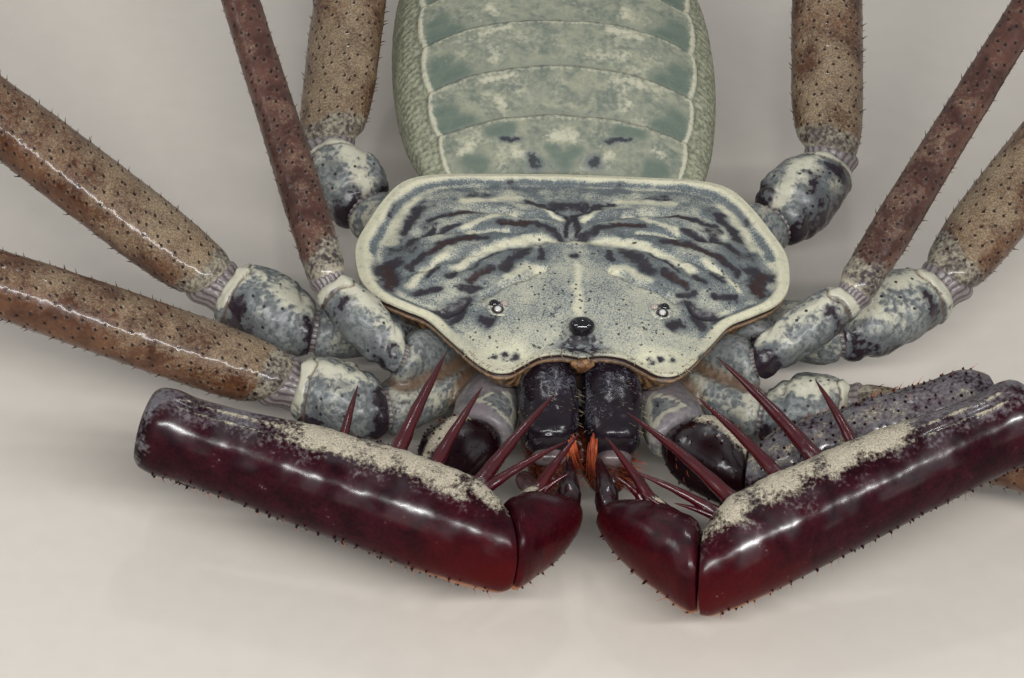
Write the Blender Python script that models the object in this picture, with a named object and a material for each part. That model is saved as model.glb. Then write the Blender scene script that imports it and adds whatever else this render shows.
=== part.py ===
"""Whip spider, Phrynus pinarensis, life size: a still museum model in its resting stance.

The animal faces -Y, its left side is +X and the floor is the plane z = 0.
Sizes below are in millimetres; the meshes are made in metres.
"""

import math

import bmesh
import bpy
from mathutils import Vector

MM = 0.001
GAP = 0.1  # space left between neighbouring plates and segments

# Carapace
CARAPACE_LENGTH = 8.8
CARAPACE_WIDTH = 13.0
CARAPACE_UNDERSIDE_Z = 3.95
CARAPACE_UNDERSIDE_SHARE = 0.985
CARAPACE_MIDDLE_Y = -0.2
DOME_TOP_Z = 5.05
CARAPACE_POINTS_AROUND = 44
CURVE_STEPS = 8
RIM_Z = 4.4
RIM_REAR_RISE = 0.36  # reached at the rear edge, from RIM_REAR_START_Y on
RIM_REAR_START_Y = 1.0
RIM_REAR_SPAN = 3.4
RIM_FRONT_RISE = 0.12  # reached at the front lobes, from RIM_FRONT_START_Y on
RIM_FRONT_START_Y = -2.5
RIM_FRONT_SPAN = 2.0
# Rings of the shield: (share of the way in to the middle, height above the rim, share of the dome)
CARAPACE_FORM = (
    (0.0, -0.12, 0.0), (0.015, 0.06, 0.0), (0.06, 0.1, 0.0), (0.1, -0.05, 0.0), (0.3, 0.0, 0.55),
    (0.62, 0.0, 0.9),
)
# Right half of the outline from the rear middle to the front middle, as fractions of half the
# width and half the length: square rear corners, widest just behind the middle, a step in at
# the base of the pedipalps, a rounded front lobe and a shallow bay over the jaws
CARAPACE_HALF_OUTLINE = (
    (0.00, 1.01), (0.35, 1.00), (0.62, 0.98), (0.76, 0.91), (0.85, 0.75), (0.93, 0.52),
    (0.99, 0.30), (1.00, 0.10), (0.98, -0.12), (0.92, -0.28), (0.80, -0.41), (0.69, -0.52),
    (0.60, -0.73), (0.50, -0.97), (0.42, -1.10), (0.34, -1.11), (0.27, -1.02), (0.19, -0.92),
    (0.09, -0.89), (0.00, -0.92),
)

# Abdomen, with the place of each seam between its rings
ABDOMEN_WIDEST_Y = 10.3
ABDOMEN_WIDTH = 10.0
ABDOMEN_FRONT_REACH = 10.1  # half length of the ellipse that gives its front part
ABDOMEN_REAR_REACH = 9.65
ABDOMEN_REAR_POWERS = (2.3, 0.62)
ABDOMEN_SEAMS_Y = (4.72, 6.8, 8.8, 10.8, 12.6, 14.3, 15.8, 17.1, 18.1, 18.8, 19.3, 19.7)
ABDOMEN_SEAM_DEPTH = 0.985
ABDOMEN_SIDES = 20
ABDOMEN_SQUARENESS = 2.2
# Height of the back and of the belly along the abdomen: (y, back z, belly z)
ABDOMEN_PROFILE = (
    (4.72, 4.40, 3.95), (5.6, 4.85, 3.05), (6.8, 5.30, 2.35), (8.8, 6.00, 1.75),
    (10.8, 6.40, 1.60), (12.8, 6.50, 1.65), (15.0, 6.20, 1.90), (17.0, 5.50, 2.40),
    (18.6, 4.65, 2.95), (19.7, 3.95, 3.45),
)

# Eyes
MEDIAN_EYE_CENTRE = (0.0, -3.2, 4.93)
MEDIAN_EYE_RADII = (0.40, 0.27, 0.24)
LATERAL_EYE_X = 2.40
LATERAL_EYE_Y = -2.32
LATERAL_EYE_Z = 4.85
LATERAL_MOUND_RADII = (0.36, 0.34, 0.20)
LATERAL_LENS_RADIUS = 0.15
LATERAL_LENS_SPREAD = 0.19
LATERAL_LENS_TURNS = (20, 130, 250)
LATERAL_LENS_RISE = 0.15

# Breast plate and the hips that radiate from it
STERNUM_HALF_WIDTH = 2.3
STERNUM_FRONT_Y = -3.0
STERNUM_REAR_Y = 4.3
STERNUM_TOP_Z = 3.8
STERNUM_BOTTOM_Z = 1.75
COXA_WIDTH = 1.95
COXA_HEIGHT = 1.75
FEELER_COXA_WIDTH = 1.4
FEELER_COXA_HEIGHT = 1.4

# Jaws
CHELICERA_X = 0.95
CHELICERA_WIDTH = 1.66
CHELICERA_BACK = (-3.45, 3.12)
CHELICERA_FRONT = (-6.25, 2.78)
CHELICERA_HEIGHT = 1.55
FANG_INSET = 0.35
FANG_DROP = 0.12
FANG_FALL = 0.9
FANG_HOOK = 0.45
FANG_THICKNESS = 0.55
FANG_FLATNESS = 0.8
FANG_TAPER = 0.82
FANG_RISES = (-88, -50)  # rise of its axis at the root and at the tip, in degrees
FANG_STEPS = 5

# Joint places (x, y, z) as the animal holds its limbs; left is +X
LIMB_JOINTS = {
    "pedipalp_left": {
        "coxa": (2.3, -2.6, 2.4), "trochanter": (2.95, -5.45, 2.55), "femur": (4.8, -7.0, 2.5),
        "femur_end": (12.1, -5.2, 4.3), "patella": (12.95, -6.7, 4.75),
        "tibia": (3.1, -11.5, 2.6), "tarsus": (0.62, -9.0, 2.65), "tip": (0.42, -6.9, 3.0),
    },
    "pedipalp_right": {
        "coxa": (-2.3, -2.6, 2.4), "trochanter": (-2.95, -5.45, 2.55), "femur": (-4.6, -7.2, 2.1),
        "femur_end": (-12.2, -5.9, 2.2), "patella": (-12.8, -7.05, 4.0),
        "tibia": (-2.5, -11.1, 3.0), "tarsus": (-0.58, -9.15, 2.85), "tip": (-0.42, -6.9, 3.0),
    },
    "leg_1_left": {
        "coxa": (2.6, -1.0, 2.6), "trochanter": (5.3, -2.9, 3.5), "femur": (8.1, -1.4, 4.8),
    },
    "leg_1_right": {
        "coxa": (-2.6, -1.0, 2.6), "trochanter": (-5.3, -3.2, 3.65), "femur": (-7.3, -1.4, 4.85),
    },
    "leg_2_left": {
        "coxa": (2.0, -1.2, 2.5), "trochanter": (5.5, -3.9, 2.35), "femur": (8.1, -3.4, 2.2),
    },
    "leg_2_right": {
        "coxa": (-2.0, -1.2, 2.5), "trochanter": (-5.7, -4.05, 2.35), "femur": (-8.3, -3.4, 2.65),
    },
    "leg_3_left": {
        "coxa": (2.0, 0.4, 2.6), "trochanter": (8.0, -0.7, 2.85), "femur": (11.1, 1.1, 3.3),
    },
    "leg_3_right": {
        "coxa": (-2.0, 0.4, 2.6), "trochanter": (-7.7, -1.0, 2.85), "femur": (-10.3, 0.3, 3.3),
    },
    "leg_4_left": {
        "coxa": (1.7, 1.8, 2.6), "trochanter": (6.5, 4.7, 2.85), "femur": (8.3, 6.95, 3.4),
    },
    "leg_4_right": {
        "coxa": (-1.7, 1.8, 2.6), "trochanter": (-5.95, 5.0, 2.85), "femur": (-7.0, 6.95, 3.4),
    },
}

# Heading of each femur and of the shin below it, in degrees: turn from +X towards +Y, then rise
FEMUR_HEADINGS = {
    "leg_1_left": (53.5, 30), "leg_1_right": (109.4, 30),
    "leg_2_left": (-24, 1), "leg_2_right": (169.6, 14.7),
    "leg_3_left": (49.3, 22), "leg_3_right": (149.3, 22),
    "leg_4_left": (86.9, 20), "leg_4_right": (82.8, 20),
}
SHIN_TURNS = {
    "leg_2_left": -18, "leg_2_right": 197, "leg_3_left": 36, "leg_3_right": 149,
    "leg_4_left": 61, "leg_4_right": 124,
}

# Walking legs: lengths and sections
FEMUR_LENGTHS = {"1": 22.0, "2": 15.5, "3": 17.0, "4": 15.0}
PATELLA_LENGTH = 2.0
TIBIA_LENGTHS = {"2": 15.5, "3": 17.0, "4": 19.0}
TARSUS_LENGTHS = {"2": 6.6, "3": 7.2, "4": 7.6}
TROCHANTER_WIDTH = 2.25
TROCHANTER_HEIGHT = 2.0
FEMUR_WIDTH = 2.2
FEMUR_HEIGHT = 1.9
PATELLA_WIDTH = 1.6
PATELLA_HEIGHT = 1.5
TIBIA_WIDTH = 1.25
TIBIA_HEIGHT = 1.1
ANKLE_Z = 1.75
TARSUS_WIDTH = 0.8
FOOT_RADIUS = 0.34
FOOT_SINK = 0.06  # depth by which a round foot is flattened on the floor
FOOT_STEPS = 5
FOOT_SWEEP = 1.5

# Feeler legs, the first pair
FEELER_TROCHANTER_WIDTH = 1.45
FEELER_FEMUR_WIDTH = 1.15
FEELER_TIBIA_LENGTH = 36.0
FEELER_TARSUS_LENGTH = 32.0
FEELER_TIBIA_THICKNESS = 0.85
FEELER_TARSUS_THICKNESS = 0.6
FEELER_TIP_THICKNESS = 0.5
FEELER_STEPS = 14
# Turn of the feeler at its knee and at its tip, in degrees from +X towards +Y
FEELER_TURNS = {"leg_1_left": (25, -95), "leg_1_right": (180, 280)}
FEELER_LIE_START = 0.72  # share of its length after which the feeler lies on the floor
FEELER_TURN_POWER = 1.4
FEELER_FALL_POWER = 1.7
FEELER_ARCH = 0.75

# Pedipalps
PALP_TROCHANTER_WIDTH = 2.1
PALP_FEMUR_WIDTH = 1.9
PALP_FEMUR_HEIGHT = 2.05
PALP_PATELLA_WIDTH = 2.3
PALP_PATELLA_HEIGHT = 2.75
PALP_TIBIA_WIDTH = 2.0
PALP_TIBIA_HEIGHT = 2.45
PALP_TARSUS_WIDTH = 0.66
PALP_TARSUS_HEIGHT = 0.85
SPINE_SIDES = 5
SPINE_ROOT_DEPTH = 0.5
SPINE_FORM = ((0.12, 1.0), (0.55, 0.5), (1.0, 0.09))  # (share of length, share of thickness)
SPINE_ROOT_SWELL = 1.1
SPINE_ROW_INSET = 0.36  # distance of a row of spines from the axis, as a share of the width
UPPER_ROW_LEVEL = 0.26  # height of a row over the axis, as a share of the segment's height
LOWER_ROW_LEVEL = -0.22
TIBIA_ROW_LEVEL = 0.2
# Spines of each patella: (share of its length from the elbow, tip place, thickness at the root)
PATELLA_SPINES = {
    "left": (
        (0.49, (6.7, -5.45, 4.9), 0.34), (0.59, (3.87, -4.75, 5.1), 0.46),
        (0.70, (3.15, -6.5, 5.0), 0.40), (0.84, (1.07, -7.0, 4.8), 0.42),
        (0.89, (1.1, -8.9, 4.2), 0.32), (0.9, (2.35, -9.75, 3.7), 0.22),
    ),
    "right": (
        (0.51, (-6.65, -5.9, 4.7), 0.30), (0.65, (-4.03, -4.6, 5.0), 0.46),
        (0.75, (-3.06, -6.1, 4.9), 0.40), (0.87, (-0.93, -6.2, 4.8), 0.42),
        (0.88, (-0.65, -8.0, 4.5), 0.32),
    ),
}
PATELLA_LOW_SPINES = {
    "left": (
        (0.52, (6.3, -8.1, 2.3), 0.26), (0.64, (4.7, -8.4, 2.0), 0.34),
        (0.82, (2.9, -8.9, 1.9), 0.32),
    ),
    "right": (
        (0.54, (-6.2, -8.4, 2.5), 0.26), (0.67, (-4.7, -8.5, 2.1), 0.34),
        (0.85, (-2.5, -8.8, 1.9), 0.30),
    ),
}
TIBIA_SPINES = {
    "left": (
        (0.7, (0.48, -7.4, 4.2), 0.34), (0.42, (1.4, -9.7, 4.0), 0.2), (0.85, (0.72, -8.7, 3.8), 0.2),
    ),
    "right": (
        (0.7, (-0.28, -7.3, 4.2), 0.34), (0.46, (-1.2, -9.5, 4.1), 0.2), (0.85, (-0.6, -8.6, 3.8), 0.2),
    ),
}

# Swelling of a segment along its length: (share of length, share of full thickness)
FEMUR_FORM = (
    (0.0, 0.60), (0.02, 0.76), (0.1, 0.96), (0.26, 1.02), (0.55, 0.96), (0.84, 0.8), (0.97, 0.78),
    (1.0, 0.62),
)
TIBIA_FORM = ((0.0, 0.86), (0.03, 1.04), (0.3, 1.0), (0.7, 0.84), (0.97, 0.8), (1.0, 0.66))
SHORT_FORM = ((0.0, 0.66), (0.18, 0.94), (0.55, 1.04), (0.85, 0.92), (1.0, 0.68))
COXA_FORM = ((0.0, 0.62), (0.3, 0.9), (0.9, 1.0), (1.0, 0.8))
PALP_FORM = ((0.0, 0.74), (0.03, 0.9), (0.25, 0.95), (0.6, 1.04), (0.9, 1.06), (1.0, 0.9))
PALP_FEMUR_FORM = ((0.0, 0.7), (0.08, 0.94), (0.35, 1.0), (0.75, 0.96), (0.95, 0.84), (1.0, 0.6))
PALP_TIBIA_FORM = ((0.0, 0.84), (0.3, 0.98), (0.5, 0.96), (0.75, 0.78), (0.93, 0.56), (1.0, 0.44))
CLAW_FORM = ((0.0, 0.7), (0.15, 1.0), (0.5, 0.8), (0.75, 0.5), (1.0, 0.16))
JAW_FORM = ((0.0, 0.8), (0.2, 0.98), (0.5, 1.05), (0.85, 0.98), (1.0, 0.72))
STERNUM_FORM = ((0.0, 0.55), (0.12, 0.9), (0.5, 1.0), (0.88, 0.9), (1.0, 0.6))

MERGE_DISTANCE = 0.002
SMOOTH_ANGLE = 40

# Colours, roughness
LOOKS = {
    "cream_plate": ((0.62, 0.56, 0.42), 0.5),
    "grey_abdomen": ((0.33, 0.36, 0.31), 0.6),
    "grey_underside": ((0.34, 0.33, 0.31), 0.5),
    "black_eye": ((0.01, 0.01, 0.012), 0.08),
    "black_jaw": ((0.03, 0.025, 0.035), 0.22),
    "maroon_palp": ((0.14, 0.022, 0.03), 0.25),
    "mottled_hip": ((0.38, 0.35, 0.31), 0.45),
    "brown_leg": ((0.21, 0.13, 0.11), 0.4),
    "brown_feeler": ((0.19, 0.11, 0.11), 0.45),
}


def material(name):
    """The Principled material of one kind of plate or skin."""
    found = bpy.data.materials.get(name)
    if found:
        return found
    colour, roughness = LOOKS[name]
    made = bpy.data.materials.new(name)
    made.use_nodes = True
    shader = made.node_tree.nodes["Principled BSDF"]
    shader.inputs["Base Color"].default_value = (*colour, 1.0)
    shader.inputs["Roughness"].default_value = roughness
    shader.inputs["Metallic"].default_value = 0.0
    made.diffuse_color = (*colour, 1.0)
    return made


def read_along(table, x):
    """Value of a table of (x, value, ...) rows at x, eased between its rows."""
    if x <= table[0][0]:
        return table[0][1:]
    for low, high in zip(table, table[1:]):
        if x <= high[0]:
            t = (x - low[0]) / (high[0] - low[0])
            return tuple(a + (b - a) * t for a, b in zip(low[1:], high[1:]))
    return table[-1][1:]


def heading(turn, rise):
    """Unit vector that points turn degrees from +X towards +Y and rise degrees up."""
    turn, rise = math.radians(turn), math.radians(rise)
    return Vector((math.cos(turn) * math.cos(rise), math.sin(turn) * math.cos(rise), math.sin(rise)))


def falling(turn, drop, length):
    """Unit vector of a length that turns like heading and falls by drop over its whole length."""
    return heading(turn, -math.degrees(math.asin(drop / length)))


def loft(rings):
    """Closed mesh through rings of equal count, with flat ends."""
    mesh = bmesh.new()
    rows = [[mesh.verts.new(point) for point in ring] for ring in rings]
    count = len(rows[0])
    for row, above in zip(rows, rows[1:]):
        for i in range(count):
            j = (i + 1) % count
            mesh.faces.new((row[i], row[j], above[j], above[i]))
    mesh.faces.new(reversed(rows[0]))
    mesh.faces.new(rows[-1])
    bmesh.ops.recalc_face_normals(mesh, faces=mesh.faces)
    return mesh


def section(centre, axis, width, height, sides, squareness=2.0):
    """Ring of points round an axis: width across it, height up it; squareness 2 is an ellipse."""
    side = Vector((0, 0, 1)).cross(axis).normalized()
    top = axis.cross(side)
    ring = []
    for i in range(sides):
        angle = 2 * math.pi * (i + 0.5) / sides
        c, s = math.cos(angle), math.sin(angle)
        u = math.copysign(abs(c) ** (2 / squareness), c) * width / 2
        v = math.copysign(abs(s) ** (2 / squareness), s) * height / 2
        ring.append(centre + side * u + top * v)
    return ring


def cut_to_plane(ring, axis, point, normal):
    """Slides each point of a ring along the axis on to a plane."""
    return [p + axis * ((point - p).dot(normal) / axis.dot(normal)) for p in ring]


def keep_beyond(ring, axis, point, normal):
    """Slides the points of a ring that lie behind a plane along the axis on to the plane."""
    moved = cut_to_plane(ring, axis, point, normal)
    return [m if (p - point).dot(normal) < 0 else p for p, m in zip(ring, moved)]


def segment(start, end, width, height, form, sides=10, squareness=2.0, before=None, after=None):
    """One limb segment between two joints.

    before and after are the directions of its neighbours. Its end is cut on the plane that
    halves the bend to that neighbour, half the gap short of the joint.
    """
    start, end = Vector(start), Vector(end)
    axis = (end - start).normalized()
    length = (end - start).length
    rings = []
    for share, swell in form:
        ring = section(start + axis * length * share, axis, width * swell, height * swell, sides, squareness)
        rings.append(ring)
    first = (axis + (before or axis)).normalized()
    last = (axis + (after or axis)).normalized()
    opening = start + first * GAP / 2
    closing = end - last * GAP / 2
    inner = [keep_beyond(ring, axis, opening, first) for ring in rings[1:-1]]
    inner = [keep_beyond(ring, axis, closing, -last) for ring in inner]
    rings[1:-1] = inner
    rings[0] = cut_to_plane(rings[0], axis, opening, first)
    rings[-1] = cut_to_plane(rings[-1], axis, closing, last)
    return loft(rings)


def direction(start, end):
    """Unit vector from one place to another."""
    return (Vector(end) - Vector(start)).normalized()


def flatten_on_floor(mesh):
    """Presses all points below the floor up to it, which leaves a small flat."""
    for vert in mesh.verts:
        vert.co.z = max(vert.co.z, 0.0)


def ellipsoid(centre, radii, around=12, rows=7):
    """Closed egg-shaped mesh."""
    mesh = bmesh.new()
    bmesh.ops.create_uvsphere(mesh, u_segments=around, v_segments=rows, radius=1.0)
    for vert in mesh.verts:
        vert.co = Vector(centre) + Vector(vert.co[i] * radii[i] for i in range(3))
    return mesh


def spine(base, tip, thickness):
    """Tapering thorn with a swollen root, sunk into what it grows from."""
    base, tip = Vector(base), Vector(tip)
    axis = (tip - base).normalized()
    length = (tip - base).length
    root = thickness * SPINE_ROOT_SWELL
    rings = [section(base - axis * SPINE_ROOT_DEPTH, axis, root, root, SPINE_SIDES)]
    for share, swell in SPINE_FORM:
        size = thickness * swell
        rings.append(section(base + axis * length * share, axis, size, size, SPINE_SIDES))
    return loft(rings)


def combine(mesh, others, operation):
    """Boolean of a mesh with others, one after another; the others are used up."""
    body = bpy.data.objects.new("body", bpy.data.meshes.new("body"))
    bpy.context.scene.collection.objects.link(body)
    mesh.to_mesh(body.data)
    mesh.free()
    for other in others:
        tool = bpy.data.objects.new("tool", bpy.data.meshes.new("tool"))
        bpy.context.scene.collection.objects.link(tool)
        other.to_mesh(tool.data)
        other.free()
        step = body.modifiers.new("step", "BOOLEAN")
        step.operation = operation
        step.solver = "EXACT"
        step.object = tool
        evaluated = body.evaluated_get(bpy.context.evaluated_depsgraph_get())
        result = bpy.data.meshes.new_from_object(evaluated)
        body.modifiers.remove(step)
        spent = body.data
        body.data = result
        bpy.data.meshes.remove(spent)
        bpy.data.meshes.remove(tool.data)
    made = bmesh.new()
    made.from_mesh(body.data)
    bpy.data.meshes.remove(body.data)
    bmesh.ops.remove_doubles(made, verts=made.verts, dist=MERGE_DISTANCE)
    bmesh.ops.dissolve_degenerate(made, edges=made.edges, dist=MERGE_DISTANCE)
    return made


def carapace_outline(count):
    """Points round the rim, evenly spread, from the smooth curve through the half outline."""
    half = [Vector((x * CARAPACE_WIDTH / 2, y * CARAPACE_LENGTH / 2)) for x, y in CARAPACE_HALF_OUTLINE]
    whole = half + [Vector((-p.x, p.y)) for p in reversed(half[1:-1])]
    n = len(whole)
    fine = []
    for i in range(n):
        a, b, c, d = (whole[(i + k) % n] for k in (-1, 0, 1, 2))
        for k in range(CURVE_STEPS):
            t = k / CURVE_STEPS
            bend = (2 * a - 5 * b + 4 * c - d) * t**2 + (3 * b - a - 3 * c + d) * t**3
            fine.append(0.5 * (2 * b + (c - a) * t + bend))
    lengths = [0.0]
    for p, q in zip(fine, fine[1:] + fine[:1]):
        lengths.append(lengths[-1] + (q - p).length)
    points, k = [], 0
    for i in range(count):
        goal = lengths[-1] * i / count
        while lengths[k + 1] < goal:
            k += 1
        t = (goal - lengths[k]) / (lengths[k + 1] - lengths[k])
        points.append(fine[k].lerp(fine[(k + 1) % len(fine)], t))
    return points


def rim_height(y):
    """Height of the carapace rim: level at the sides, higher behind and at the front."""
    rear = max(0.0, (y - RIM_REAR_START_Y) / RIM_REAR_SPAN) ** 1.5
    front = max(0.0, (RIM_FRONT_START_Y - y) / RIM_FRONT_SPAN)
    return RIM_Z + RIM_REAR_RISE * rear + RIM_FRONT_RISE * front


def carapace():
    """Head shield: a thin rim, a shallow trough inside it and a low dome."""
    outline = carapace_outline(CARAPACE_POINTS_AROUND)
    middle = Vector((0.0, CARAPACE_MIDDLE_Y))
    rings = [[(p * CARAPACE_UNDERSIDE_SHARE).to_3d() for p in outline]]
    for point in rings[0]:
        point.z = CARAPACE_UNDERSIDE_Z
    for share, rise, dome in CARAPACE_FORM:
        ring = []
        for p in outline:
            q = p.lerp(middle, share)
            low = rim_height(q.y) + rise
            ring.append(Vector((q.x, q.y, low + (DOME_TOP_Z - low) * dome)))
        rings.append(ring)
    mesh = loft(rings)
    mesh.faces.ensure_lookup_table()
    caps = [face for face in mesh.faces if len(face.verts) == CARAPACE_POINTS_AROUND]
    bmesh.ops.poke(mesh, faces=[max(caps, key=lambda face: face.calc_center_median().z)])
    sockets = [ellipsoid(MEDIAN_EYE_CENTRE, [r + GAP for r in MEDIAN_EYE_RADII], 12, 6)]
    for side in (1, -1):
        centre = (side * LATERAL_EYE_X, LATERAL_EYE_Y, LATERAL_EYE_Z)
        sockets.append(ellipsoid(centre, [r + GAP for r in LATERAL_MOUND_RADII], 12, 6))
    return combine(mesh, sockets, "DIFFERENCE")


def lateral_eyes(side):
    """Three small lenses on a mound beside the front lobe."""
    centre = Vector((side * LATERAL_EYE_X, LATERAL_EYE_Y, LATERAL_EYE_Z))
    mound = ellipsoid(centre, LATERAL_MOUND_RADII, 10, 5)
    lenses = []
    for degrees in LATERAL_LENS_TURNS:
        turn = math.radians(degrees)
        place = centre + Vector((side * math.cos(turn), math.sin(turn), 0)) * LATERAL_LENS_SPREAD
        place.z += LATERAL_LENS_RISE
        lenses.append(ellipsoid(place, [LATERAL_LENS_RADIUS] * 3, 8, 4))
    return combine(mound, lenses, "UNION")


def abdomen_half_width(y):
    """Half the width of the abdomen: round in front, drawn out behind."""
    if y < ABDOMEN_WIDEST_Y:
        front = (ABDOMEN_WIDEST_Y - y) / ABDOMEN_FRONT_REACH
        return ABDOMEN_WIDTH / 2 * math.sqrt(1 - front**2)
    rear = (y - ABDOMEN_WIDEST_Y) / ABDOMEN_REAR_REACH
    fullness, bluntness = ABDOMEN_REAR_POWERS
    return ABDOMEN_WIDTH / 2 * (1 - rear**fullness) ** bluntness


def abdomen():
    """Eleven visible rings of the abdomen, drawn in a little at each seam."""
    rings = []
    for seam, following in zip(ABDOMEN_SEAMS_Y, ABDOMEN_SEAMS_Y[1:] + (None,)):
        places = [(seam, ABDOMEN_SEAM_DEPTH)]
        if following:
            places.append((seam + (following - seam) * 0.5, 1.0))
        for y, swell in places:
            back, belly = read_along(ABDOMEN_PROFILE, y)
            centre = Vector((0, y, (back + belly) / 2))
            width = 2 * abdomen_half_width(y) * swell
            height = (back - belly) * swell
            ring = section(centre, Vector((0, 1, 0)), width, height, ABDOMEN_SIDES, ABDOMEN_SQUARENESS)
            rings.append(ring)
    return loft(rings)


def underside():
    """Breast plate with the ten hips that radiate from it, in one closed shell."""
    plate = []
    for share, swell in STERNUM_FORM:
        y = STERNUM_FRONT_Y + (STERNUM_REAR_Y - STERNUM_FRONT_Y) * share
        centre = Vector((0, y, (STERNUM_TOP_Z + STERNUM_BOTTOM_Z) / 2))
        width = 2 * STERNUM_HALF_WIDTH * swell
        height = (STERNUM_TOP_Z - STERNUM_BOTTOM_Z) * swell
        plate.append(section(centre, Vector((0, 1, 0)), width, height, 12, 2.6))
    hips = []
    for limb, joints in LIMB_JOINTS.items():
        feeler = limb.startswith("leg_1")
        width = FEELER_COXA_WIDTH if feeler else COXA_WIDTH
        height = FEELER_COXA_HEIGHT if feeler else COXA_HEIGHT
        after = direction(joints["trochanter"], joints["femur"])
        hips.append(segment(joints["coxa"], joints["trochanter"], width, height, COXA_FORM, 8, after=after))
    return combine(loft(plate), hips, "UNION")


def chelicera(side):
    """Basal block of one jaw, rounded above."""
    back = (side * CHELICERA_X, *CHELICERA_BACK)
    front = (side * CHELICERA_X, *CHELICERA_FRONT)
    return segment(back, front, CHELICERA_WIDTH, CHELICERA_HEIGHT, JAW_FORM, 12, 2.5)


def fang(side):
    """Hooked claw of the jaw, hanging from its front end."""
    front_y, front_z = CHELICERA_FRONT
    root = Vector((side * CHELICERA_X, front_y + FANG_INSET, front_z - CHELICERA_HEIGHT / 2 - FANG_DROP))
    first_rise, last_rise = FANG_RISES
    rings = []
    for i in range(FANG_STEPS + 1):
        t = i / FANG_STEPS
        axis = heading(90, first_rise + (last_rise - first_rise) * t)
        centre = root + Vector((0, FANG_HOOK * t * t, -FANG_FALL * t))
        size = FANG_THICKNESS * (1 - FANG_TAPER * t)
        rings.append(section(centre, axis, size * FANG_FLATNESS, size, 8))
    return loft(rings)


def spiny(mesh, start, end, width, height, rows):
    """Adds spines to a segment of a pedipalp: rows hold (spines, height on the segment)."""
    start, end = Vector(start), Vector(end)
    axis = (end - start).normalized()
    inward = Vector((0, 0, 1)).cross(axis).normalized()
    if inward.y < 0:
        inward = -inward
    thorns = []
    for spines, level in rows:
        for share, tip, thickness in spines:
            offset = inward * width * SPINE_ROW_INSET + Vector((0, 0, height * level))
            base = start.lerp(end, share) + offset
            thorns.append(spine(base, tip, thickness))
    return combine(mesh, thorns, "UNION")


def pedipalp(side_name):
    """Five segments of one grasping arm, as name to mesh."""
    joints = LIMB_JOINTS["pedipalp_" + side_name]
    way = {
        "coxa": direction(joints["coxa"], joints["trochanter"]),
        "trochanter": direction(joints["trochanter"], joints["femur"]),
        "femur": direction(joints["femur"], joints["femur_end"]),
        "patella": direction(joints["patella"], joints["tibia"]),
        "tibia": direction(joints["tibia"], joints["tarsus"]),
        "tarsus": direction(joints["tarsus"], joints["tip"]),
    }
    patella_size = PALP_PATELLA_WIDTH, PALP_PATELLA_HEIGHT
    tibia_size = PALP_TIBIA_WIDTH, PALP_TIBIA_HEIGHT
    patella = segment(joints["patella"], joints["tibia"], *patella_size, PALP_FORM, 12, 2.3,
                      after=way["tibia"])
    tibia = segment(joints["tibia"], joints["tarsus"], *tibia_size, PALP_TIBIA_FORM, 12, 2.1,
                    way["patella"], way["tarsus"])
    patella_rows = (
        (PATELLA_SPINES[side_name], UPPER_ROW_LEVEL), (PATELLA_LOW_SPINES[side_name], LOWER_ROW_LEVEL),
    )
    tibia_rows = ((TIBIA_SPINES[side_name], TIBIA_ROW_LEVEL),)
    return {
        "trochanter": segment(joints["trochanter"], joints["femur"], PALP_TROCHANTER_WIDTH,
                              PALP_TROCHANTER_WIDTH, SHORT_FORM, 10, 2.2, way["coxa"], way["femur"]),
        "femur": segment(joints["femur"], joints["femur_end"], PALP_FEMUR_WIDTH, PALP_FEMUR_HEIGHT,
                         PALP_FEMUR_FORM, 10, 2.2, way["trochanter"]),
        "patella": spiny(patella, joints["patella"], joints["tibia"], *patella_size, patella_rows),
        "tibia": spiny(tibia, joints["tibia"], joints["tarsus"], *tibia_size, tibia_rows),
        "tarsus": segment(joints["tarsus"], joints["tip"], PALP_TARSUS_WIDTH, PALP_TARSUS_HEIGHT,
                          CLAW_FORM, 8, 2.0, way["tibia"]),
    }


def walking_leg(limb):
    """Trochanter, femur, patella, tibia and tarsus of a walking leg, as name to mesh."""
    pair = limb.split("_")[1]
    joints = LIMB_JOINTS[limb]
    turn, rise = FEMUR_HEADINGS[limb]
    coxa_way = direction(joints["coxa"], joints["trochanter"])
    trochanter_way = direction(joints["trochanter"], joints["femur"])
    femur_way = heading(turn, rise)
    knee = Vector(joints["femur"]) + femur_way * FEMUR_LENGTHS[pair]
    # The shin falls from the knee so that the ankle is at its height
    shin_turn = SHIN_TURNS[limb]
    patella_way = heading((turn + shin_turn) / 2, 1)
    below = knee + patella_way * PATELLA_LENGTH
    tibia_way = falling(shin_turn, below.z - ANKLE_Z, TIBIA_LENGTHS[pair])
    ankle = below + tibia_way * TIBIA_LENGTHS[pair]
    tarsus_way = falling(shin_turn, ankle.z - FOOT_RADIUS + FOOT_SINK, TARSUS_LENGTHS[pair])
    toe = ankle + tarsus_way * TARSUS_LENGTHS[pair]
    return {
        "trochanter": segment(joints["trochanter"], joints["femur"], TROCHANTER_WIDTH, TROCHANTER_HEIGHT,
                              SHORT_FORM, 10, 2.2, coxa_way, femur_way),
        "femur": segment(joints["femur"], knee, FEMUR_WIDTH, FEMUR_HEIGHT, FEMUR_FORM, 10, 2.1,
                         trochanter_way, patella_way),
        "patella": segment(knee, below, PATELLA_WIDTH, PATELLA_HEIGHT, SHORT_FORM, 8, 2.1,
                           femur_way, tibia_way),
        "tibia": segment(below, ankle, TIBIA_WIDTH, TIBIA_HEIGHT, TIBIA_FORM, 8, 2.0,
                         patella_way, tarsus_way),
        "tarsus": foot(ankle, toe, tibia_way),
    }


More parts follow.
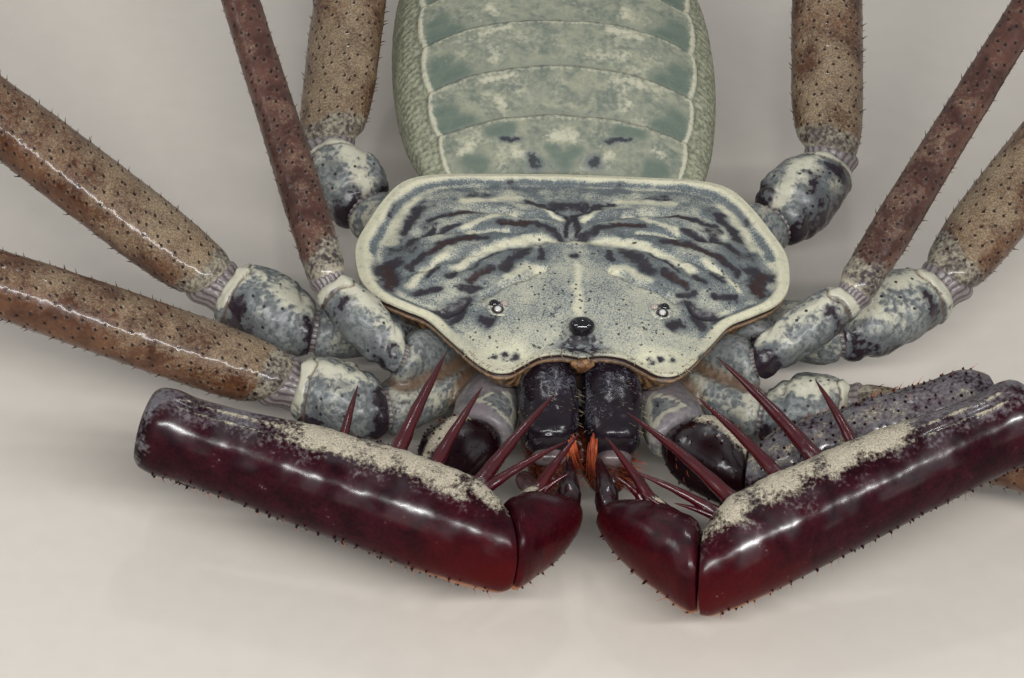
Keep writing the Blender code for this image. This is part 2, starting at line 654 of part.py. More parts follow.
def foot(ankle, toe, before):
    """Slender tarsus that levels out to lie on the floor at its tip, with the flat it rests on."""
    rings = []
    axis = direction(ankle, toe)
    for i in range(FOOT_STEPS + 1):
        t = i / FOOT_STEPS
        centre = ankle.lerp(toe, t)
        centre.z = toe.z + (ankle.z - toe.z) * (1 - t) ** FOOT_SWEEP
        width = TARSUS_WIDTH + (2 * FOOT_RADIUS - TARSUS_WIDTH) * t
        rings.append(section(centre, axis, width, width, 8))
    first = (axis + before).normalized()
    rings[0] = cut_to_plane(rings[0], axis, ankle + first * GAP / 2, first)
    mesh = loft(rings)
    flatten_on_floor(mesh)
    return mesh


def feeler_path(limb, knee):
    """Points of the whip from the knee to its tip, in equal steps.

    It leaves the knee almost level, sweeps round, and lies along the floor at the end.
    """
    total = FEELER_TIBIA_LENGTH + FEELER_TARSUS_LENGTH
    start_turn, end_turn = FEELER_TURNS[limb]
    rest_z = FEELER_TARSUS_THICKNESS / 2 - FOOT_SINK
    steps = 2 * FEELER_STEPS
    points = [knee]
    for i in range(steps):
        t = (i + 0.5) / steps
        fall = max(0.0, 1 - t / FEELER_LIE_START)
        # Height as a smooth ramp from the knee to the floor
        z = rest_z + (knee.z - rest_z) * fall**FEELER_FALL_POWER * (1 + FEELER_ARCH * (1 - fall))
        turn = math.radians(start_turn + (end_turn - start_turn) * t**FEELER_TURN_POWER)
        drop = z - points[-1].z
        reach = math.sqrt(max((total / steps) ** 2 - drop**2, 0.0))
        points.append(points[-1] + Vector((math.cos(turn) * reach, math.sin(turn) * reach, drop)))
    return points


def whip(points, start_thickness, end_thickness, before=None, after=None):
    """Slender tube of six sides through points, which rests on a flat where it reaches the floor."""
    rings = []
    last = len(points) - 1
    for i, point in enumerate(points):
        coming = direction(points[i - 1], point) if i else direction(point, points[1])
        going = direction(point, points[i + 1]) if i < last else coming
        axis = (coming + going).normalized()
        size = start_thickness + (end_thickness - start_thickness) * i / last
        rings.append(section(point, axis, size, size, 6))
        if i == 0:
            plane = (axis + (before or axis)).normalized()
            rings[0] = cut_to_plane(rings[0], axis, point + plane * GAP / 2, plane)
        if i == last:
            plane = (axis + (after or axis)).normalized()
            rings[-1] = cut_to_plane(rings[-1], axis, point - plane * GAP / 2, plane)
    mesh = loft(rings)
    flatten_on_floor(mesh)
    return mesh


def feeler_leg(limb):
    """Trochanter, femur, and the two parts of the long whip of a feeler leg."""
    joints = LIMB_JOINTS[limb]
    turn, rise = FEMUR_HEADINGS[limb]
    femur_way = heading(turn, rise)
    knee = Vector(joints["femur"]) + femur_way * FEMUR_LENGTHS["1"]
    path = feeler_path(limb, knee)
    split = round(len(path) * FEELER_TIBIA_LENGTH / (FEELER_TIBIA_LENGTH + FEELER_TARSUS_LENGTH))
    first_way = direction(path[0], path[1])
    way_in, way_out = direction(path[split - 1], path[split]), direction(path[split], path[split + 1])
    return {
        "trochanter": segment(joints["trochanter"], joints["femur"], FEELER_TROCHANTER_WIDTH,
                              FEELER_TROCHANTER_WIDTH, SHORT_FORM, 10, 2.2,
                              direction(joints["coxa"], joints["trochanter"]), femur_way),
        "femur": segment(joints["femur"], knee, FEELER_FEMUR_WIDTH, FEELER_FEMUR_WIDTH, TIBIA_FORM, 8, 2.0,
                         direction(joints["trochanter"], joints["femur"]), first_way),
        "tibia": whip(path[: split + 1], FEELER_TIBIA_THICKNESS, FEELER_TARSUS_THICKNESS,
                      femur_way, way_out),
        "tarsus": whip(path[split:], FEELER_TARSUS_THICKNESS, FEELER_TIP_THICKNESS, way_in),
    }


def all_pieces():
    """Every plate, segment and eye as name to (mesh in millimetres, kind of surface)."""
    pieces = {
        "carapace": (carapace(), "cream_plate"),
        "hips_and_sternum": (underside(), "grey_underside"),
        "abdomen": (abdomen(), "grey_abdomen"),
        "eyes_median": (ellipsoid(MEDIAN_EYE_CENTRE, MEDIAN_EYE_RADII, 14, 8), "black_eye"),
    }
    for name, side in (("left", 1), ("right", -1)):
        pieces["eyes_lateral_" + name] = (lateral_eyes(side), "black_eye")
        pieces["chelicera_" + name] = (chelicera(side), "black_jaw")
        pieces["fang_" + name] = (fang(side), "maroon_palp")
        for part, mesh in pedipalp(name).items():
            look = "mottled_hip" if part == "trochanter" else "maroon_palp"
            pieces[f"pedipalp_{name}_{part}"] = (mesh, look)
        for part, mesh in feeler_leg("leg_1_" + name).items():
            look = "mottled_hip" if part == "trochanter" else "brown_feeler"
            pieces[f"leg_1_{name}_{part}"] = (mesh, look)
        for pair in "234":
            for part, mesh in walking_leg(f"leg_{pair}_{name}").items():
                look = "mottled_hip" if part == "trochanter" else "brown_leg"
                pieces[f"leg_{pair}_{name}_{part}"] = (mesh, look)
    return pieces


def place_pieces(pieces):
    """Makes the objects, with the middle of the whole footprint at the origin."""
    corners = [vert.co for mesh, _ in pieces.values() for vert in mesh.verts]
    low = Vector(min(p[i] for p in corners) for i in range(3))
    high = Vector(max(p[i] for p in corners) for i in range(3))
    origin = Vector(((low.x + high.x) / 2, (low.y + high.y) / 2, low.z))
    animal = bpy.data.objects.new("animal", None)
    bpy.context.scene.collection.objects.link(animal)
    for name, (mesh, look) in pieces.items():
        centre = sum((vert.co for vert in mesh.verts), Vector()) / len(mesh.verts)
        for vert in mesh.verts:
            vert.co = (vert.co - centre) * MM
        bmesh.ops.triangulate(mesh, faces=[face for face in mesh.faces if len(face.verts) > 4])
        bmesh.ops.recalc_face_normals(mesh, faces=mesh.faces)
        data = bpy.data.meshes.new(name)
        mesh.to_mesh(data)
        mesh.free()
        data.shade_smooth()
        data.set_sharp_from_angle(angle=math.radians(SMOOTH_ANGLE))
        data.materials.append(material(look))
        made = bpy.data.objects.new(name, data)
        bpy.context.scene.collection.objects.link(made)
        made.location = (centre - origin) * MM
        made.parent = animal


for old in list(bpy.data.objects):
    bpy.data.objects.remove(old)
parts = all_pieces()
for spare in list(bpy.data.objects):
    bpy.data.objects.remove(spare)
place_pieces(parts)
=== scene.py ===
"""The whip spider's finished surfaces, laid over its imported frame.

Every place below is in millimetres of the animal's own frame: it faces -Y, its left is +X and
the floor is z = 0. One shift, read from the frame, takes it to the row's frame.
"""

import math

import bmesh
import bpy
import numpy as np
from mathutils import Matrix, Vector
from mathutils.kdtree import KDTree


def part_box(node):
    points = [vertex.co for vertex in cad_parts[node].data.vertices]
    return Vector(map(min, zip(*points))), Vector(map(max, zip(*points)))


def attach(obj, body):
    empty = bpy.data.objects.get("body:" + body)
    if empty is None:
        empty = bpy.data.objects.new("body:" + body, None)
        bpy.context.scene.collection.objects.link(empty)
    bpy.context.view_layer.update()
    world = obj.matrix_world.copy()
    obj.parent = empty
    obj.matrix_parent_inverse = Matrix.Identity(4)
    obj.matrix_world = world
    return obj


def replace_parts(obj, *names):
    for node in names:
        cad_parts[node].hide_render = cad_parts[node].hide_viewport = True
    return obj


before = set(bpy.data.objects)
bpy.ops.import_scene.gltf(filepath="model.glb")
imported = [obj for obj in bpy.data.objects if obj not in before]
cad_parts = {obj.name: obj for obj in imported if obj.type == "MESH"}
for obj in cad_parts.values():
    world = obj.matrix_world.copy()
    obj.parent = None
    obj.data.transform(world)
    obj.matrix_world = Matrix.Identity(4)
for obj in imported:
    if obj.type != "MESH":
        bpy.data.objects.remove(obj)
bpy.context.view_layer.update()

# View: the animal from above its front, as the photograph was taken, with a long close-up lens.
# The camera looks down on a point near the jaws, and leans a little to one side.
MM = 0.001
MEDIAN_EYE = Vector((0.0, -3.2, 4.93))
eye_low, eye_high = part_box("eyes_median")
SHIFT = (eye_low + eye_high) / 2 - MEDIAN_EYE * MM

VIEW_TARGET = Vector((-1.826, -1.39, 2.987))
VIEW_DISTANCE = 200
VIEW_TURN = math.radians(-6)
VIEW_RISE = math.radians(38)
VIEW_LEAN = math.radians(4.9)
SENSOR = 36
FRAME_WIDTH_MM = 1024 / 33.7  # the photograph is 1024 pixels wide, 33.7 to the millimetre


def stand_camera():
    """Adds the camera and makes it the scene's own."""
    turn, rise, lean = VIEW_TURN, VIEW_RISE, VIEW_LEAN
    across = Vector((math.cos(turn), math.sin(turn), 0))
    above = Vector((-math.sin(turn) * math.sin(rise), math.cos(turn) * math.sin(rise), math.cos(rise)))
    ahead = above.cross(across)
    right = across * math.cos(lean) + above * math.sin(lean)
    upward = above * math.cos(lean) - across * math.sin(lean)
    camera = bpy.data.objects.new("camera", bpy.data.cameras.new("camera"))
    bpy.context.scene.collection.objects.link(camera)
    pose = Matrix((right, upward, -ahead)).transposed().to_4x4()
    pose.translation = (VIEW_TARGET - ahead * VIEW_DISTANCE) * MM + SHIFT
    camera.matrix_world = pose
    camera.data.sensor_width = SENSOR
    camera.data.lens = SENSOR * VIEW_DISTANCE / FRAME_WIDTH_MM
    camera.data.clip_start = 0.01
    bpy.context.scene.camera = camera


stand_camera()

# Light: one long strip box in front, just above the lens, whose thin reflection runs along the arms
# and legs, a small one behind for glints, a faint one at the side, and a fill all round.
# Boxes: (place that it hangs at, its size across and along, its power)
LIGHTS = {
    "key_box": ((6, -104, 96), (180, 7), 0.25),
    "back_box": ((12, 62, 132), (12, 12), 0.014),
    "side_box": ((-130, 10, 80), (50, 50), 0.02),
}
FILL_COLOUR = (0.9, 0.95, 1.0, 1)
FILL_POWER = 0.385


def hang_light(name, place, size, power):
    """Adds one soft box that faces the animal: round, or a straight strip."""
    light = bpy.data.objects.new(name, bpy.data.lights.new(name, "AREA"))
    bpy.context.scene.collection.objects.link(light)
    light.data.shape = "ELLIPSE" if size[0] == size[1] else "RECTANGLE"
    light.data.size, light.data.size_y = (side * MM for side in size)
    light.data.energy = power
    light.location = Vector(place) * MM + SHIFT
    light.rotation_euler = (-Vector(place)).to_track_quat("-Z", "Y").to_euler()


for light_name, (light_place, light_size, light_power) in LIGHTS.items():
    hang_light(light_name, light_place, light_size, light_power)

room = bpy.data.worlds.new("room")
room.use_nodes = True
fill = room.node_tree.nodes["Background"].inputs
fill["Color"].default_value = FILL_COLOUR
fill["Strength"].default_value = FILL_POWER
bpy.context.scene.world = room
bpy.context.scene.view_settings.view_transform = "Standard"


# Finishes: a surface's colour is worked out from its own marks, which lie on the mesh's points,
# and from fine grain over its place. These two classes let that be written as plain sums.
class Wire:
    """An output of a node. Sums and products of wires and numbers add Math nodes."""

    def __init__(self, tree, socket):
        self.tree = tree
        self.socket = socket

    def math(self, operation, first, second):
        values = {"Value": first, "Value_001": second}
        return self.tree.node("ShaderNodeMath", {"operation": operation}, values)

    def __add__(self, other):
        return self.math("ADD", self, other)

    def __mul__(self, other):
        return self.math("MULTIPLY", self, other)

    def __truediv__(self, other):
        return self.math("DIVIDE", self, other)

    def __sub__(self, other):
        return self.math("SUBTRACT", self, other)

    def __rsub__(self, other):
        return self.math("SUBTRACT", other, self)

    __radd__ = __add__
    __rmul__ = __mul__

    def beside(self, name):
        """Another output of the same node."""
        return Wire(self.tree, self.socket.node.outputs[name])

    def eased(self, low, high):
        """0 below low, 1 above high, and a smooth step between them."""
        reach = {"Value": self, "From Min": low, "From Max": high}
        return self.tree.node("ShaderNodeMapRange", {"interpolation_type": "SMOOTHSTEP"}, reach)


class Tree:
    """A node tree: one call adds a node, sets its settings and then its sockets by identifier."""

    def __init__(self, tree):
        self.tree = tree

    def node(self, kind, settings=None, values=None, output=None):
        made = self.tree.nodes.new(kind)
        for name, value in (settings or {}).items():
            setattr(made, name, value)
        sockets = {socket.identifier: socket for socket in made.inputs}
        for name, value in (values or {}).items():
            if isinstance(value, Wire):
                self.tree.links.new(value.socket, sockets[name])
            else:
                sockets[name].default_value = value
        outputs = {socket.identifier: socket for socket in made.outputs if socket.enabled}
        if outputs:
            return Wire(self, outputs[output] if output else next(iter(outputs.values())))


class Finish(Tree):
    """A Principled material. Constants are set on its shader by socket name."""

    def __init__(self, name, constants=None):
        self.material = bpy.data.materials.new(name)
        self.material.use_nodes = True
        super().__init__(self.material.node_tree)
        self.shader = self.tree.nodes["Principled BSDF"]
        for socket, value in (constants or {}).items():
            self.shader.inputs[socket].default_value = value
        self.place = self.node("ShaderNodeTexCoord", output="Object")

    def mark(self, name):
        return self.node("ShaderNodeAttribute", {"attribute_name": name}, output="Fac")

    def grain(self, size, detail=3.0, distortion=0.0):
        """Noise from 0 to 1 whose features are about size millimetres."""
        values = {"Vector": self.place, "Scale": 1 / (size * MM), "Detail": detail, "Distortion": distortion}
        return self.node("ShaderNodeTexNoise", values=values)

    def dots(self, size):
        """Distance to the nearest of many scattered points, from 0 to about 1."""
        return self.node("ShaderNodeTexVoronoi", values={"Vector": self.place, "Scale": 1 / (size * MM)})

    def mix(self, share, first, second):
        """Colour that goes from the first to the second as share goes from 0 to 1."""
        values = {"Factor_Float": share}
        for socket, colour in (("A_Color", first), ("B_Color", second)):
            values[socket] = colour if isinstance(colour, Wire) else (*colour, 1.0)
        return self.node("ShaderNodeMix", {"data_type": "RGBA"}, values, "Result_Color")

    def use(self, colour, roughness, height=None, depth=0.02):
        """Links the colour and the roughness, and a bump whose full height is depth millimetres."""
        for socket, value in (("Base Color", colour), ("Roughness", roughness)):
            if isinstance(value, Wire):
                self.tree.links.new(value.socket, self.shader.inputs[socket])
            else:
                self.shader.inputs[socket].default_value = value
        if height is not None:
            values = {"Height": height, "Distance": depth * MM, "Strength": 1.0}
            bump = self.node("ShaderNodeBump", values=values)
            self.tree.links.new(bump.socket, self.shader.inputs["Normal"])
        return self.material


# Floor: plain pale paper, level with the flats of the feet. It isn't part of the animal.
FLOOR_HALF = 1500


def lay_floor():
    """Adds the floor as one large square."""
    corners = [(-1, -1), (1, -1), (1, 1), (-1, 1)]
    mesh = bpy.data.meshes.new("floor")
    places = [(x * FLOOR_HALF * MM, y * FLOOR_HALF * MM, 0) for x, y in corners]
    mesh.from_pydata(places, [], [(0, 1, 2, 3)])
    floor = bpy.data.objects.new("floor", mesh)
    bpy.context.scene.collection.objects.link(floor)
    paper = Finish("pale_paper", {"Specular IOR Level": 0.2})
    fibre = paper.grain(0.8, 4.0)
    mesh.materials.append(paper.use(paper.mix(fibre, (0.55, 0.50, 0.44), (0.60, 0.55, 0.485)), 0.85))


lay_floor()

# Head shield: one hard, low plate of cuticle, cream marbled with slate and brown-black. Its
# margin is a rolled cream bead all round, and it hangs over the hips on soft skin.
SHIELD_HALF_WIDTH = 6.5
SHIELD_HALF_LENGTH = 4.4
SHIELD_MIDDLE = np.array((0.0, -0.2))
SHIELD_THICKNESS = 0.4
SHIELD_TOP_Z = 5.05
# Right half of the outline from the rear middle to the front middle, as shares of half the size
SHIELD_OUTLINE = (
    (0.00, 1.01), (0.35, 1.00), (0.62, 0.98), (0.76, 0.91), (0.85, 0.75), (0.93, 0.52),
    (0.99, 0.30), (1.00, 0.10), (0.98, -0.12), (0.92, -0.28), (0.80, -0.41), (0.69, -0.52),
    (0.60, -0.73), (0.50, -0.97), (0.42, -1.10), (0.34, -1.11), (0.27, -1.02), (0.19, -0.92),
    (0.09, -0.89), (0.00, -0.92),
)
# Section from the middle of the underside, round the edge, to the middle of the back:
# (share of the ring's size, height, share of the way from that height up to the rim's)
SHIELD_WALL = (
    (0.3, 0.0), (0.7, 0.0), (0.9, 0.0), (0.975, 0.0), (0.987, 0.12), (0.99, 0.3), (0.977, 0.42),
    (0.972, 0.5), (0.98, 0.58), (0.996, 0.7), (1.0, 0.85), (0.998, 1.0),
)
# Rise of the back: (share of the way in from the edge, share of the whole rise)
SHIELD_DOME = ((0.0, 0.0), (0.1, 0.0), (0.2, 0.3), (0.34, 0.6), (0.62, 0.9), (1.0, 1.0))
RIM_ROLL_AT = 0.045
RIM_ROLL_WIDTH = 0.03
RIM_ROLL_HEIGHT = 0.09
SHIELD_COLUMNS = 440
SHIELD_ROWS = 150
ROW_CROWDING = 1.15  # above 1, the rows crowd towards the edge, where the bead is
WALL_ROWS = 10  # rows of the section that lie under the lip
SKIN_ROWS = 6  # the lowest of them, which show as tan skin
# Marks of one side, mirrored on the other: (half width, then places x, y along the mark)
INK_MARKS = (
    (0.15, (0.88, 2.72), (0.42, 2.5), (0.0, 2.1)), (0.24, (0.0, 2.78), (0.45, 2.8)),
    (0.13, (0.9, 2.8), (1.3, 2.9)), (0.09, (0.14, 2.1), (0.17, 1.2)),
    (0.15, (2.15, 1.72), (1.3, 1.75), (0.85, 1.55), (0.33, 1.1)),
    (0.13, (4.3, 2.1), (3.6, 2.35), (2.65, 2.38)), (0.21, (5.05, 1.6), (4.8, 2.2), (4.5, 2.7)),
    (0.17, (4.85, 1.0), (4.2, 1.6)),
    (0.18, (4.85, -0.1), (4.4, 0.4), (3.9, 0.75), (3.3, 1.0), (2.7, 1.02)),
    (0.3, (5.8, -0.05), (5.3, 0.15)), (0.33, (5.55, -0.1), (5.5, -0.8)), (0.1, (3.4, 1.7), (4.0, 1.45)),
    (0.09, (3.1, -0.5), (2.8, 0.0), (2.25, 0.4), (1.75, 0.55)),
    (0.26, (2.15, -0.45), (1.85, 0.0), (1.5, 0.4)), (0.12, (1.0, 0.35), (1.0, -0.05)),
    (0.2, (3.2, -1.05), (2.6, -0.5)), (0.14, (3.5, -1.3), (3.0, -1.4)), (0.13, (3.8, -0.75), (3.6, -0.5)),
    (0.15, (4.75, -1.2), (4.15, -1.25)), (0.12, (4.4, -0.6), (4.1, -0.4)),
    (0.17, (5.2, -1.85), (4.7, -2.05), (4.2, -2.1)), (0.26, (4.0, -2.1), (3.55, -1.95), (3.25, -1.75)),
    (0.2, (3.7, -2.45), (3.5, -2.2)), (0.19, (2.95, -2.6), (2.7, -2.8)),
    (0.07, (3.85, -3.6), (3.5, -4.0)), (0.16, (0.0, 0.1), (0.01, 0.1)),
    (0.115, (2.66, -4.2), (2.64, -4.21)), (0.11, (2.29, -4.17), (2.27, -4.18)),
    (0.105, (1.99, -4.27), (1.97, -4.28)),
)
RUST_MARKS = (
    (0.1, (2.1, 1.72), (1.3, 1.75)), (0.1, (4.4, 0.4), (3.9, 0.75), (3.0, 1.0)),
    (0.14, (3.2, -1.0), (2.7, -0.6)), (0.2, (5.6, 0.0), (5.5, -0.8)), (0.09, (3.6, 2.35), (2.65, 2.38)),
)
PALE_MARKS = (
    (0.06, (0.8, 2.5), (0.5, 2.2), (0.22, 1.9)), (0.1, (3.2, 1.6), (2.5, 1.95), (1.75, 2.3)),
    (0.07, (3.1, 1.35), (2.0, 1.42)),
    (0.13, (0.0, 0.78), (1.0, 0.95), (2.05, 0.75), (2.9, 0.25), (3.55, -0.35)),
    (0.16, (2.1, -0.85), (1.5, -0.45), (1.15, -0.6)), (0.12, (0.0, -0.5), (0.0, -2.5)),
    (0.12, (5.4, 1.2), (5.2, 2.2), (4.6, 3.2)), (0.1, (3.9, 0.2), (4.5, -0.3), (4.9, -0.9)),
    (0.12, (1.5, 3.1), (3.2, 3.0)), (0.1, (6.0, 0.7), (5.9, -0.5)),
)
SLATE_MARKS = (
    (0.16, (6.15, 0.9), (5.75, 1.8), (5.1, 3.1), (4.2, 3.75), (0.0, 3.9)),
    (0.14, (5.95, -1.5), (5.6, -1.8)), (0.3, (0.0, -3.85), (0.6, -3.75)),
    (0.25, (3.3, -2.2), (2.75, -2.7)), (0.2, (1.2, 0.1), (2.3, -0.7)), (0.25, (1.0, 1.35), (2.6, 1.3)),
)
# Border between the marbled rear and the pale stippled front: (distance from the middle, y)
FRONT_BORDER = (
    (0.0, -0.2), (0.9, -0.45), (1.65, -1.0), (2.9, -1.75), (3.7, -2.1), (5.0, -2.6), (7.0, -3.0),
)


def smooth_step(x, low, high):
    """0 below low, 1 above high, eased between them."""
    t = np.clip((x - low) / (high - low), 0, 1)
    return t * t * (3 - 2 * t)


def hump(x, middle, width, power=2):
    """A bell of height 1 at the middle, which has fallen to about a third at width from it."""
    return np.exp(-(((x - middle) / width) ** power))


def read_curve(table, x):
    """Values of a table of (place, value, ...) rows at x, on a smooth curve through its rows."""
    table = np.array(table, float)
    places, values = table[:, 0], table[:, 1:]
    slopes = np.gradient(values, places, axis=0)
    x = np.clip(np.asarray(x, float), places[0], places[-1])
    i = np.clip(np.searchsorted(places, x, side="right") - 1, 0, len(places) - 2)
    span = (places[i + 1] - places[i])[..., None]
    t = (x - places[i])[..., None] / span
    ends = values[i] * (1 + 2 * t) * (1 - t) ** 2 + values[i + 1] * t * t * (3 - 2 * t)
    return ends + span * (slopes[i] * t * (1 - t) ** 2 - slopes[i + 1] * t * t * (1 - t))


def cloud(points, size, seed=0):
    """Smooth noise from -1 to 1 with features about size across, the same at each run."""
    spot = np.asarray(points, float) / size + seed * 17.31
    cell = np.floor(spot).astype(np.int64)
    t = spot - cell
    t = t * t * (3 - 2 * t)
    total = 0.0
    for corner in np.ndindex(2, 2, 2):
        x, y, z = (cell[..., k] + corner[k] for k in range(3))
        mixed = (x * 73856093) ^ (y * 19349663) ^ (z * 83492791)
        mixed = (mixed ^ (mixed >> 13)) * 1274126177
        value = ((mixed ^ (mixed >> 16)) & 0xFFFF) / 32767.5 - 1
        share = np.prod([t[..., k] if corner[k] else 1 - t[..., k] for k in range(3)], axis=0)
        total = total + value * share
    return total


def clouds(points, size, seed=0, layers=3):
    """Sum of noise at halving sizes, from about -1 to 1."""
    return sum(cloud(points, size / 2**k, seed + k) / 2**k for k in range(layers)) / 1.5


def closed_curve(points, count):
    """Evenly spread points on the smooth closed curve through the given ones."""
    points = np.array(points, float)
    steps = np.linspace(0, 1, 16, endpoint=False)[:, None]
    a, b, c, d = (np.roll(points, -k, axis=0)[:, None] for k in (-1, 0, 1, 2))
    bend = (2 * a - 5 * b + 4 * c - d) * steps**2 + (3 * b - a - 3 * c + d) * steps**3
    fine = (0.5 * (2 * b + (c - a) * steps + bend)).reshape(-1, points.shape[1])
    fine = np.vstack((fine, fine[:1]))
    lengths = np.concatenate(([0], np.cumsum(np.linalg.norm(np.diff(fine, axis=0), axis=1))))
    goals = np.linspace(0, lengths[-1], count, endpoint=False)
    return np.stack([np.interp(goals, lengths, fine[:, k]) for k in range(points.shape[1])], axis=1)


class Shell:
    """A closed skin: rings of points round an axis, each end drawn together, with marks on its points."""

    def __init__(self, rings):
        self.points = np.array(rings, float)
        rows, columns, _ = self.points.shape
        self.along = np.broadcast_to(np.linspace(0, 1, rows)[:, None], (rows, columns))
        self.around = np.broadcast_to(np.linspace(0, 1, columns, endpoint=False), (rows, columns))
        self.marks = {}

    def outward(self):
        """Unit vector away from the shell at each point."""
        down = np.gradient(self.points, axis=0)
        across = np.roll(self.points, -1, axis=1) - np.roll(self.points, 1, axis=1)
        away = np.cross(across, down)
        return away / np.maximum(np.linalg.norm(away, axis=-1, keepdims=True), 1e-12)

    def push(self, height):
        """Moves each point outward by its height."""
        self.points = self.points + self.outward() * np.asarray(height)[..., None]

    def clear_of_ends(self, start=0.02, end=0.985):
        """1 along the shell, eased to 0 at both ends, which have to stay on their joints' planes."""
        return smooth_step(self.along, 0.0, start) * (1 - smooth_step(self.along, end, 1.0))

    def lie(self):
        """Presses flat what would go through the floor."""
        self.points[..., 2] = np.maximum(self.points[..., 2], 0.0)

    def near(self, places):
        """Distance of each point to the nearest of the places."""
        tree = KDTree(len(places))
        for i, place in enumerate(places):
            tree.insert(place, i)
        tree.balance()
        flat = self.points.reshape(-1, 3)
        return np.array([tree.find(point)[2] for point in flat]).reshape(self.along.shape)

    def area(self):
        """Rough area, from the rings' rounds and the distance between them."""
        rounds = np.linalg.norm(np.roll(self.points, -1, axis=1) - self.points, axis=-1).sum(axis=1)
        steps = np.linalg.norm(np.diff(self.points.mean(axis=1), axis=0), axis=-1)
        return float((rounds[1:] * steps).sum()) + 1e-6


def shell_faces(rows, columns):
    """Corner lists of a shell's faces: quads between rings, and a fan at each end."""
    i = np.arange(rows - 1)[:, None] * columns
    j = np.arange(columns)[None, :]
    k = (j + 1) % columns
    quads = np.stack((i + j, i + k, i + columns + k, i + columns + j), axis=-1).reshape(-1, 4)
    first, last, ring = rows * columns, rows * columns + 1, (rows - 1) * columns
    j, k = j[0], k[0]
    start = np.stack((np.full(columns, first), k, j), axis=-1)
    end = np.stack((np.full(columns, last), ring + j, ring + k), axis=-1)
    return quads, np.vstack((start, end))


def shell_chart(rows, columns):
    """Flat chart of the same faces' corners: along one way, around the other."""
    u = np.linspace(0.01, 0.99, rows)
    v = np.linspace(0, 1, columns + 1)
    low_u, high_u = (np.repeat(side, columns) for side in (u[:-1], u[1:]))
    low_v, high_v = (np.tile(side, rows - 1) for side in (v[:-1], v[1:]))
    quads = np.stack((low_u, low_v, low_u, high_v, high_u, high_v, high_u, low_v), axis=-1).reshape(-1, 2)
    middle = (v[:-1] + v[1:]) / 2
    zeros, ones = np.zeros(columns), np.ones(columns)
    start = np.stack((zeros, middle, zeros + 0.01, v[1:], zeros + 0.01, v[:-1]), axis=-1).reshape(-1, 2)
    end = np.stack((ones, middle, ones - 0.01, v[:-1], ones - 0.01, v[1:]), axis=-1).reshape(-1, 2)
    return np.vstack((quads, start, end))


def link_piece(name, mesh):
    """Adds a piece that rides on the body."""
    piece = bpy.data.objects.new(name, mesh)
    bpy.context.scene.collection.objects.link(piece)
    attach(piece, "root")
    return piece


def place_points(mesh, points):
    """Puts the points of a mesh at places given in the animal's millimetres."""
    mesh.vertices.foreach_set("co", (points * MM + np.array(SHIFT)).astype(np.float32).ravel())


def mark_points(mesh, name, values):
    """Writes one number, or one vector, for each point of a mesh."""
    kind, field = ("FLOAT_VECTOR", "vector") if np.ndim(values) == 2 else ("FLOAT", "value")
    layer = mesh.attributes.new(name, kind, "POINT")
    layer.data.foreach_set(field, np.asarray(values, np.float32).ravel())


def make_piece(name, shells, material, slot, *nodes):
    """Builds one piece from shells, each with its own strip of the piece's chart."""
    points, corners, counts, chart, marks = [], [], [], [], {}
    names = sorted({mark for shell in shells for mark in shell.marks})
    strips = np.sqrt([shell.area() for shell in shells])
    edges = np.concatenate(([0], np.cumsum(strips / strips.sum())))
    for shell, low, high in zip(shells, edges, edges[1:]):
        rows, columns, _ = shell.points.shape
        base = sum(len(part) for part in points)
        ends = shell.points[[0, -1]].mean(axis=1)
        points.append(np.vstack((shell.points.reshape(-1, 3), ends)))
        quads, fans = shell_faces(rows, columns)
        corners += [(quads + base).ravel(), (fans + base).ravel()]
        counts += [np.full(len(quads), 4), np.full(len(fans), 3)]
        flat = shell_chart(rows, columns)
        chart.append(np.stack((flat[:, 0], low + (high - low) * (0.02 + 0.96 * flat[:, 1])), axis=-1))
        for mark in names:
            values = shell.marks.get(mark, np.zeros((rows, columns)))
            ends = values[[0, -1]].mean(axis=1)
            marks.setdefault(mark, []).append(np.concatenate((np.ravel(values), ends)))
    points, corners, counts = np.vstack(points), np.concatenate(corners), np.concatenate(counts)
    mesh = bpy.data.meshes.new(name)
    mesh.vertices.add(len(points))
    place_points(mesh, points)
    mesh.loops.add(len(corners))
    mesh.loops.foreach_set("vertex_index", corners.astype(np.int32))
    mesh.polygons.add(len(counts))
    face_starts = np.concatenate(([0], np.cumsum(counts)[:-1]))
    mesh.polygons.foreach_set("loop_start", face_starts.astype(np.int32))
    mesh.update(calc_edges=True)
    mesh.uv_layers.new(name="OFBake").data.foreach_set("uv", np.vstack(chart).astype(np.float32).ravel())
    for mark, values in marks.items():
        mark_points(mesh, mark, np.concatenate(values))
    mesh.shade_smooth()
    mesh.materials.append(material)
    for shell, low, high in zip(shells, edges, edges[1:]):
        shell.strip = low, high
    piece = link_piece(name, mesh)
    if nodes:
        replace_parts(piece, *nodes)
    return piece


